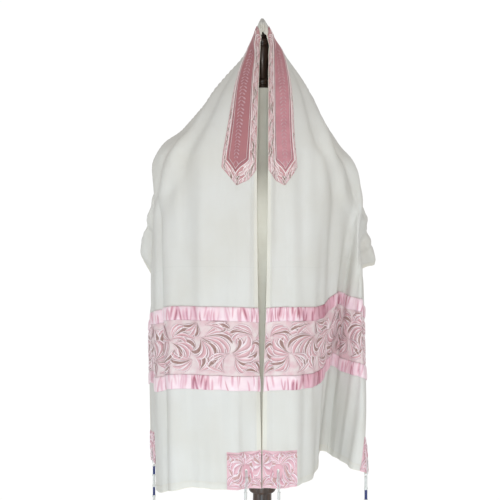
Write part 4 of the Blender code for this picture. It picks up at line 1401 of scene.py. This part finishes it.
def make_torso():
    """The covered torso and neck of the form."""
    zs = spread([row[0] for row in TORSO], 0.012)
    sections = []
    for z in zs:
        half, front, back = smooth(TORSO, z)
        sections.append((half, (front + back) / 2, (back - front) / 2, z))
    torso = drawn_up("torso", sections, 72)
    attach(torso, "root")
    return standing_for(torso, "form_torso")


def make_stand():
    """The turned wood of the form and its stand, from the finial down to the foot."""
    return [
        make_turned("finial", "form_finial", FINIAL, 48),
        make_turned("collar", "stand_collar", COLLAR, 64),
        make_turned("pole", "stand_pole", POLE, 64),
        make_turned("foot", "stand_base", BASE, 96),
    ]


# ---- stitching on the shawl's own edges ----

STITCH_PITCH = 0.0034
STITCH_LENGTH = 0.72 * STITCH_PITCH
STITCH_RADIUS = 0.00022
STITCH_FROM_FOLD = 0.0015


def make_topstitching():
    """The line of stitches that holds the turned hem, along all four edges."""
    lines = []
    inset = HEM_WIDTH - STITCH_FROM_FOLD
    for t in (inset, WIDTH - inset):
        us = np.arange(-HALF + inset, HALF - inset, STITCH_PITCH)
        if t < WIDTH / 2:
            us = us[np.abs(us + STITCH_PITCH / 2) > ATARAH_HALF + ATARAH_POINT + 0.004]
        lines += [((u, t), (u + STITCH_LENGTH, t)) for u in us]
    for end in (-1, 1):
        u = end * (HALF - inset)
        lines += [((u, t), (u, t + STITCH_LENGTH)) for t in np.arange(inset, WIDTH - inset, STITCH_PITCH)]
    stitches = Bundle()
    for (u0, t0), (u1, t1) in lines:
        on_patch = HALF - abs(u0) < PATCH_SIDE and min(t0, WIDTH - t0) < PATCH_SIDE
        on_trim = RIBBON_HIGH < abs(u0) < RIBBON_LOW
        if on_patch or on_trim:
            continue
        u, t = np.linspace(u0, u1, 3), np.linspace(t0, t1, 3)
        path = on_cloth(u, t, surface(u, t) + np.array([0.00005, 0.00018, 0.00005]))
        stitches.cord(path, STITCH_RADIUS, 4)
    return stitches.piece("hem_stitching", "shawl_cloth")


# ---- materials ----

# A line of painted shade darkens the cloth along this pressed crease.
CREASE_U = 0.492  # where the shawl was pressed when it was folded away
FLOSS_PITCH = 0.0005
TWIST_PITCH = 0.0021
SOCKETS = {"Place": "NodeSocketVector", "Colour": "NodeSocketColor", "Darker": "NodeSocketColor"}


def new_group(name, inputs, outputs):
    """An empty node group with its named sockets, as (group, what it is given, what it gives)."""
    group = bpy.data.node_groups.new(name, "ShaderNodeTree")
    for sockets, way in ((inputs, "INPUT"), (outputs, "OUTPUT")):
        for socket in sockets:
            kind = SOCKETS.get(socket, "NodeSocketFloat")
            group.interface.new_socket(socket, in_out=way, socket_type=kind)
    given = group.nodes.new("NodeGroupInput").outputs
    gives = group.nodes.new("NodeGroupOutput").inputs
    return group, given, gives


def feed(tree, socket, value):
    """Puts a number, a linear RGB colour or another node's output into a socket."""
    if isinstance(value, (int, float)):
        socket.default_value = value
    elif isinstance(value, tuple):
        socket.default_value = (*value, 1.0)
    else:
        tree.links.new(value, socket)


def math_node(tree, operation, *values):
    """A math node whose inputs are numbers or other nodes' outputs."""
    node = tree.nodes.new("ShaderNodeMath")
    node.operation = operation
    for socket, value in zip(node.inputs, values):
        feed(tree, socket, value)
    return node.outputs[0]


def plus(tree, one, two):
    """The sum of two numbers or outputs."""
    return math_node(tree, "ADD", one, two)


def less(tree, one, two):
    """One number or output less another."""
    return math_node(tree, "SUBTRACT", one, two)


def times(tree, one, two):
    """The product of two numbers or outputs."""
    return math_node(tree, "MULTIPLY", one, two)


def eased(tree, value, low, high):
    """0 below low and 1 above high, smooth between them."""
    node = tree.nodes.new("ShaderNodeMapRange")
    node.interpolation_type = "SMOOTHSTEP"
    feed(tree, node.inputs["Value"], value)
    feed(tree, node.inputs["From Min"], low)
    feed(tree, node.inputs["From Max"], high)
    return node.outputs["Result"]


def mixed_colour(tree, share, one, two):
    """A mix of two colours, by the share of the second."""
    node = tree.nodes.new("ShaderNodeMix")
    node.data_type = "RGBA"
    for k, value in ((0, share), (6, one), (7, two)):
        feed(tree, node.inputs[k], value)
    return node.outputs[2]


def noise(tree, place, scale, detail):
    """Cloudy noise over a place."""
    node = tree.nodes.new("ShaderNodeTexNoise")
    feed(tree, node.inputs["Vector"], place)
    feed(tree, node.inputs["Scale"], scale)
    feed(tree, node.inputs["Detail"], detail)
    return node.outputs["Fac"]


def split(tree, place):
    """The first two parts of a place."""
    node = tree.nodes.new("ShaderNodeSeparateXYZ")
    feed(tree, node.inputs[0], place)
    return node.outputs["X"], node.outputs["Y"]


def weave_group():
    """Plain weave: its height and its openings, by the place on the cloth and its threads a metre."""
    group, given, gives = new_group("weave", ["Place", "Threads a Metre"], ["Height", "Open"])
    x, y = split(group, given["Place"])
    turns = times(group, given["Threads a Metre"], math.tau / 2)
    across, along = times(group, x, turns), times(group, y, turns)
    warp = math_node(group, "ABSOLUTE", math_node(group, "SINE", across))
    weft = math_node(group, "ABSOLUTE", math_node(group, "SINE", along))
    turn_over = times(group, math_node(group, "COSINE", across), math_node(group, "COSINE", along))
    high = math_node(group, "MAXIMUM", warp, weft)
    feed(group, gives["Height"], plus(group, high, times(group, turn_over, 0.25)))
    feed(group, gives["Open"], less(group, 1.0, high))
    return group


def unevenness_group():
    """Slight clouding of a colour, as in washed cloth."""
    group, given, gives = new_group("unevenness", ["Place", "Colour", "Darker", "Size", "Share"], ["Colour"])
    cloud = eased(group, noise(group, given["Place"], given["Size"], 4.0), 0.30, 0.72)
    share = times(group, cloud, given["Share"])
    feed(group, gives["Colour"], mixed_colour(group, share, given["Colour"], given["Darker"]))
    return group


def edge_group():
    """How far a place lies on the turned hems, on their outer fold and on the pressed creases."""
    group, given, gives = new_group("hem", ["Place"], ["Hem", "Fold", "Crease"])
    t, u = split(group, given["Place"])
    from_side = math_node(group, "MINIMUM", t, less(group, WIDTH, t))
    out = math_node(group, "ABSOLUTE", u)
    from_end = less(group, HALF, out)
    side = less(group, 1.0, eased(group, from_side, 0.6 * HEM_WIDTH, 0.8 * HEM_WIDTH))
    end = less(group, 1.0, eased(group, from_end, HEM_WIDTH - 0.0006, HEM_WIDTH + 0.0006))
    feed(group, gives["Hem"], math_node(group, "MAXIMUM", side, times(group, end, 0.4)))
    outer = eased(group, math_node(group, "MINIMUM", from_side, from_end), 0.0, 0.0024)
    feed(group, gives["Fold"], less(group, 1.0, outer))
    from_crease = math_node(group, "ABSOLUTE", less(group, out, CREASE_U))
    feed(group, gives["Crease"], less(group, 1.0, eased(group, from_crease, 0.0, 0.0022)))
    return group


def satin_stitch_group():
    """Threads side by side across a frond: their height, pale outline, rim of painted shadow and shaded
    side.
    """
    group, given, gives = new_group("satin stitch", ["Place"], ["Height", "Outline", "Rim", "Shade"])
    along, across = split(group, given["Place"])
    aside = math_node(group, "ABSOLUTE", across)
    slanted = plus(group, along, times(group, aside, 0.0005))
    feed(group, gives["Height"], math_node(group, "SINE", times(group, slanted, math.tau / FLOSS_PITCH)))
    feed(group, gives["Outline"], eased(group, aside, 0.50, 0.60))
    feed(group, gives["Shade"], eased(group, across, -0.20, 0.35))
    # The rim is where painted shadow goes, as if between nested fronds.
    feed(group, gives["Rim"], eased(group, aside, 0.86, 0.94))
    return group


def wood_group():
    """Fine grain that runs up a turned piece."""
    group, given, gives = new_group("grain", ["Place"], ["Grain"])
    stretch = group.nodes.new("ShaderNodeMapping")
    stretch.inputs["Scale"].default_value = (1.0, 1.0, 0.07)
    feed(group, stretch.inputs["Vector"], given["Place"])
    lines = noise(group, stretch.outputs[0], 240.0, 6.0)
    wide = noise(group, stretch.outputs[0], 45.0, 3.0)
    both = plus(group, times(group, lines, 0.6), times(group, wide, 0.4))
    feed(group, gives["Grain"], eased(group, both, 0.35, 0.68))
    return group


WEAVE = weave_group()
UNEVEN = unevenness_group()
EDGES = edge_group()
SATIN = satin_stitch_group()
GRAIN = wood_group()


def use_group(tree, group, **given):
    """What a group gives for what it is given."""
    node = tree.nodes.new("ShaderNodeGroup")
    node.node_tree = group
    for socket, value in given.items():
        feed(tree, node.inputs[socket.replace("_", " ")], value)
    return node.outputs


def woven(tree, place, threads):
    """The height and the openings of a weave with so many threads a metre."""
    return use_group(tree, WEAVE, Place=place, Threads_a_Metre=threads)


def clouded(tree, place, colour, darker, size, share):
    """A colour clouded with a darker one."""
    cloud = use_group(tree, UNEVEN, Place=place, Colour=colour, Darker=darker, Size=size, Share=share)
    return cloud["Colour"]


def cloth_place(tree):
    """The place on the flat cloth, in metres."""
    node = tree.nodes.new("ShaderNodeUVMap")
    node.uv_map = "cloth"
    return node.outputs[0]


def object_place(tree):
    """The place in the piece's own space, in metres."""
    return tree.nodes.new("ShaderNodeTexCoord").outputs["Object"]


def tone_of(tree):
    """The tone that the piece's points carry."""
    node = tree.nodes.new("ShaderNodeAttribute")
    node.attribute_name = "tone"
    return node.outputs["Fac"]


def rgb(*screen):
    """A linear colour from its red, green and blue screen values of 0 to 255."""
    shares = [value / 255 for value in screen]
    return tuple(v / 12.92 if v <= 0.04045 else ((v + 0.055) / 1.055) ** 2.4 for v in shares)


def new_material(name, **settings):
    """A named material and its tree; the settings go on its shader's own sockets."""
    material = bpy.data.materials.new(name)
    material.use_nodes = True
    tree = material.node_tree
    for setting, value in settings.items():
        tree.nodes["Principled BSDF"].inputs[setting.replace("_", " ")].default_value = value
    return material, tree


def finished(material, colour, height, distance, strength):
    """The material, with its colour and its fine relief joined to the shader."""
    tree = material.node_tree
    shader = tree.nodes["Principled BSDF"]
    bump = tree.nodes.new("ShaderNodeBump")
    feed(tree, bump.inputs["Distance"], distance)
    feed(tree, bump.inputs["Strength"], strength)
    feed(tree, bump.inputs["Height"], height)
    feed(tree, shader.inputs["Normal"], bump.outputs[0])
    feed(tree, shader.inputs["Base Color"], colour)
    return material


def shawl_material():
    """White cotton, a little creamier along its turned hems, with a faint line of painted shade along the
    pressed crease.
    """
    material, tree = new_material("white cotton", Roughness=0.86, Specular_IOR_Level=0.25)
    place = cloth_place(tree)
    hem = use_group(tree, EDGES, Place=place)
    white = mixed_colour(tree, hem["Hem"], rgb(220, 218, 214), rgb(227, 223, 213))
    cream = mixed_colour(tree, hem["Fold"], white, rgb(232, 227, 212))
    cloud = clouded(tree, place, cream, rgb(213, 209, 201), 9.0, 0.6)
    # Painted shade: the pressed crease is darkened a little towards grey.
    crease_shaded = mixed_colour(tree, times(tree, hem["Crease"], 0.07), cloud, rgb(176, 178, 170))
    return finished(material, crease_shaded, woven(tree, place, 1500.0)["Height"], 0.00018, 0.55)


def ribbon_material():
    """Pink satin, deeper pink in the grooves of its puckers as painted shade and palest on their crests as a
    painted highlight.
    """
    material, tree = new_material(
        "pink satin", Roughness=0.36, Specular_IOR_Level=0.5, Sheen_Weight=0.2, Sheen_Roughness=0.4,
    )
    place, tone = cloth_place(tree), tone_of(tree)
    # Painted shade in the grooves (low tone), painted highlight on the crests (high tone).
    deep = mixed_colour(tree, eased(tree, tone, 0.0, 0.42), rgb(172, 99, 115), rgb(221, 167, 180))
    pale = mixed_colour(tree, eased(tree, tone, 0.40, 0.85), deep, rgb(245, 223, 228))
    cloud = clouded(tree, place, pale, rgb(228, 188, 206), 70.0, 0.35)
    return finished(material, cloud, woven(tree, place, 2600.0)["Height"], 0.00008, 0.35)


def ground_material(name, colour, darker):
    """Sheer, slightly shiny ground cloth under the embroidery, with painted shade in the openings of its
    weave.
    """
    material, tree = new_material(name, Roughness=0.55, Specular_IOR_Level=0.35, Sheen_Weight=0.15)
    place = cloth_place(tree)
    weave = woven(tree, place, 900.0)
    # Painted shade: the openings of the weave are darkened towards the darker colour.
    openings = times(tree, eased(tree, weave["Open"], 0.25, 0.75), 0.35)
    base = mixed_colour(tree, openings, clouded(tree, place, colour, darker, 45.0, 0.8), darker)
    return finished(material, base, weave["Height"], 0.00012, 0.5)


def strip_material():
    """The rose satin of the neckband's strip, whose right half is a little paler and cooler: painted light,
    for the light that falls more on that side.
    """
    material, tree = new_material("rose satin", Roughness=0.5, Specular_IOR_Level=0.35, Sheen_Weight=0.15)
    place = cloth_place(tree)
    _, u = split(tree, place)
    # Painted light: the right half is made paler and cooler than the left.
    colour = mixed_colour(tree, eased(tree, u, -0.10, 0.20), rgb(175, 114, 118), rgb(200, 139, 147))
    cloud = clouded(tree, place, colour, rgb(166, 110, 118), 40.0, 0.45)
    return finished(material, cloud, woven(tree, place, 1100.0)["Height"], 0.00012, 0.5)


def thread_material(name, pink, taupe, outline, rim):
    """Embroidery floss: pink, taupe, silver or piping by tone, with a pale outline and a shaded rim."""
    material, tree = new_material(name, Roughness=0.42, Specular_IOR_Level=0.45, Sheen_Weight=0.2)
    tone = tone_of(tree)
    stitch = use_group(tree, SATIN, Place=cloth_place(tree))
    lighter = tuple(0.75 * v + 0.25 * w for v, w in zip(pink, outline))
    pinks = mixed_colour(tree, eased(tree, tone, 0.06, 0.36), pink, lighter)
    shaded = mixed_colour(tree, times(tree, stitch["Shade"], 0.55), pinks, rim)
    fill = mixed_colour(tree, eased(tree, tone, 0.44, 0.52), shaded, taupe)
    edged = mixed_colour(tree, stitch["Outline"], fill, outline)
    leaf = mixed_colour(tree, eased(tree, tone, 0.88, 0.94), edged, rgb(206, 166, 173))
    # Painted shadow: each frond's rim takes the dark rim colour.
    rim_shaded = mixed_colour(tree, stitch["Rim"], leaf, rim)
    piping = mixed_colour(tree, eased(tree, tone, 1.4, 1.6), rim_shaded, outline)
    # Tones below zero take the dark rim colour: the painted shade of the groove cord.
    colour = mixed_colour(tree, eased(tree, tone, -0.6, -0.4), rim, piping)
    cloud = clouded(tree, object_place(tree), colour, pink, 160.0, 0.25)
    return finished(material, cloud, stitch["Height"], 0.00012, 0.6)


def cord_material():
    """White wool cord, navy where its tone is 1, with its twist."""
    material, tree = new_material("fringe wool", Roughness=0.8, Specular_IOR_Level=0.2, Sheen_Weight=0.2)
    along, around = split(tree, cloth_place(tree))
    turn = plus(tree, times(tree, along, math.tau / TWIST_PITCH), times(tree, around, 2 * math.tau))
    blue = eased(tree, tone_of(tree), 0.4, 0.6)
    colour = mixed_colour(tree, blue, rgb(226, 227, 224), rgb(40, 54, 118))
    cloud = clouded(tree, object_place(tree), colour, rgb(190, 190, 190), 400.0, 0.14)
    return finished(material, cloud, math_node(tree, "SINE", turn), 0.0003, 0.7)


def cover_material():
    """The form's linen cover."""
    material, tree = new_material("form linen", Roughness=0.9, Specular_IOR_Level=0.2)
    place = object_place(tree)
    cloud = clouded(tree, place, rgb(236, 233, 221), rgb(222, 217, 202), 24.0, 0.5)
    return finished(material, cloud, noise(tree, place, 900.0, 3.0), 0.0004, 0.6)


def wood_material():
    """Dark stained and lacquered wood."""
    material, tree = new_material(
        "dark wood", Roughness=0.34, Specular_IOR_Level=0.5, Coat_Weight=0.35, Coat_Roughness=0.18,
    )
    grain = use_group(tree, GRAIN, Place=object_place(tree))["Grain"]
    rough = plus(tree, times(tree, grain, 0.12), 0.30)
    feed(tree, tree.nodes["Principled BSDF"].inputs["Roughness"], rough)
    colour = mixed_colour(tree, grain, rgb(46, 32, 25), rgb(74, 53, 41))
    return finished(material, colour, grain, 0.0002, 0.25)


def floor_material():
    """The pale floor under the stand."""
    material, tree = new_material("pale floor", Roughness=0.7, Specular_IOR_Level=0.2)
    shade = clouded(tree, object_place(tree), rgb(240, 240, 240), rgb(232, 232, 232), 1.5, 0.5)
    feed(tree, tree.nodes["Principled BSDF"].inputs["Base Color"], shade)
    return material


def make_materials():
    """The materials, each with how the names of its pieces begin; a piece takes the first that fits."""
    band_thread = thread_material(
        "band floss", pink=rgb(225, 176, 182), taupe=rgb(158, 124, 116),
        outline=rgb(253, 240, 243), rim=rgb(164, 112, 120),
    )
    patch_thread = thread_material(
        "patch floss", pink=rgb(230, 174, 185), taupe=rgb(200, 158, 154),
        outline=rgb(252, 238, 243), rim=rgb(186, 122, 140),
    )
    neckband_thread = thread_material(
        "neckband floss", pink=rgb(228, 188, 191), taupe=rgb(138, 112, 100),
        outline=rgb(253, 242, 240), rim=rgb(146, 94, 102),
    )
    return (
        (shawl_material(), ("shawl", "hem_stitching")),
        (ribbon_material(), ("satin",)),
        (ground_material("cream organza", rgb(230, 218, 216), rgb(216, 172, 180)), ("organza",)),
        (band_thread, ("palm_fans",)),
        (patch_thread, ("patch_fans", "eyelet")),
        (ground_material("patch cloth", rgb(232, 196, 203), rgb(222, 174, 184)), ("patch",)),
        (strip_material(), ("neckband_middle",)),
        (neckband_thread, ("neckband_",)),
        (ground_material("pink organza", rgb(206, 156, 158), rgb(190, 134, 138)), ("neckband",)),
        (cord_material(), ("fringe",)),
        (cover_material(), ("torso",)),
        (wood_material(), ("finial", "collar", "pole", "foot")),
    )


def cover(pieces):
    """Gives every piece its material."""
    materials = make_materials()
    for piece in pieces:
        piece.data.materials.clear()
        piece.data.materials.append(next(m for m, starts in materials if piece.name.startswith(starts)))


# ---- stage ----

CAMERA_PLACE = (-0.0253, -1.35, 1.14)
CAMERA_VIEW = math.radians(42.0)
# Lamps: name, place, what each is turned to, size, power, colour
LAMPS = (
    ("left window", (-1.9, -1.6, 0.3), (0.0, 0.0, 0.6), 1.0, 12.4, (0.84, 0.93, 1.0)),
    ("low window", (-0.2, -1.5, 0.32), (0.0, 0.0, 0.32), 0.6, 4.5, (0.62, 0.86, 1.0)),
    ("right window", (1.7, -1.8, 0.4), (0.1, 0.0, 0.8), 0.9, 10.0, (0.90, 0.97, 1.0)),
    ("front lamp", (-0.05, -2.3, 1.3), (0.0, 0.0, 1.15), 0.5, 13.0, (1.0, 0.965, 0.92)),
)


def studio_world():
    """A studio of soft grey light with a white wall behind the part."""
    world = bpy.data.worlds.new("studio")
    world.use_nodes = True
    tree = world.node_tree
    _, y = split(tree, tree.nodes.new("ShaderNodeTexCoord").outputs["Generated"])
    light = mixed_colour(tree, eased(tree, y, 0.35, 0.72), (0.50, 0.50, 0.49), (1.03, 1.03, 1.03))
    feed(tree, tree.nodes["Background"].inputs["Color"], light)
    return world


def make_stage():
    """The floor, the studio's light, the lamps and the camera."""
    bpy.ops.object.select_all(action="DESELECT")
    bpy.ops.mesh.primitive_circle_add(vertices=96, radius=1.5, fill_type="NGON", location=(0, 0, 0))
    floor = bpy.context.object
    floor.name = floor.data.name = "floor"
    floor.data.materials.append(floor_material())

    scene = bpy.context.scene
    scene.world = studio_world()
    for name, place, aim, size, energy, colour in LAMPS:
        lamp = bpy.data.lights.new(name, "AREA")
        lamp.size = size
        lamp.energy = energy
        lamp.color = colour
        holder = bpy.data.objects.new(name, lamp)
        holder.location = place
        toward = mathutils.Vector(aim) - mathutils.Vector(place)
        holder.rotation_euler = toward.to_track_quat("-Z", "Y").to_euler()
        scene.collection.objects.link(holder)

    lens = bpy.data.cameras.new("camera")
    lens.sensor_width = 36.0
    lens.lens = lens.sensor_width / 2 / math.tan(CAMERA_VIEW / 2)
    lens.clip_start = 0.05
    camera = bpy.data.objects.new("camera", lens)
    camera.location = CAMERA_PLACE
    camera.rotation_euler = (math.pi / 2, 0.0, 0.0)
    scene.collection.objects.link(camera)
    scene.camera = camera
    scene.view_settings.view_transform = "Standard"


def main():
    """Makes the shawl with all that is sewn on it, the form and its stand, and the stage."""
    shawl = make_shawl()
    stitching = make_topstitching()
    bands = make_bands()
    patches = make_patches()
    neckband = make_neckband()
    fringes = make_fringes()
    form = [make_torso(), *make_stand()]
    cover([shawl, stitching, *bands, *patches, *neckband, *fringes, *form])
    make_stage()


main()
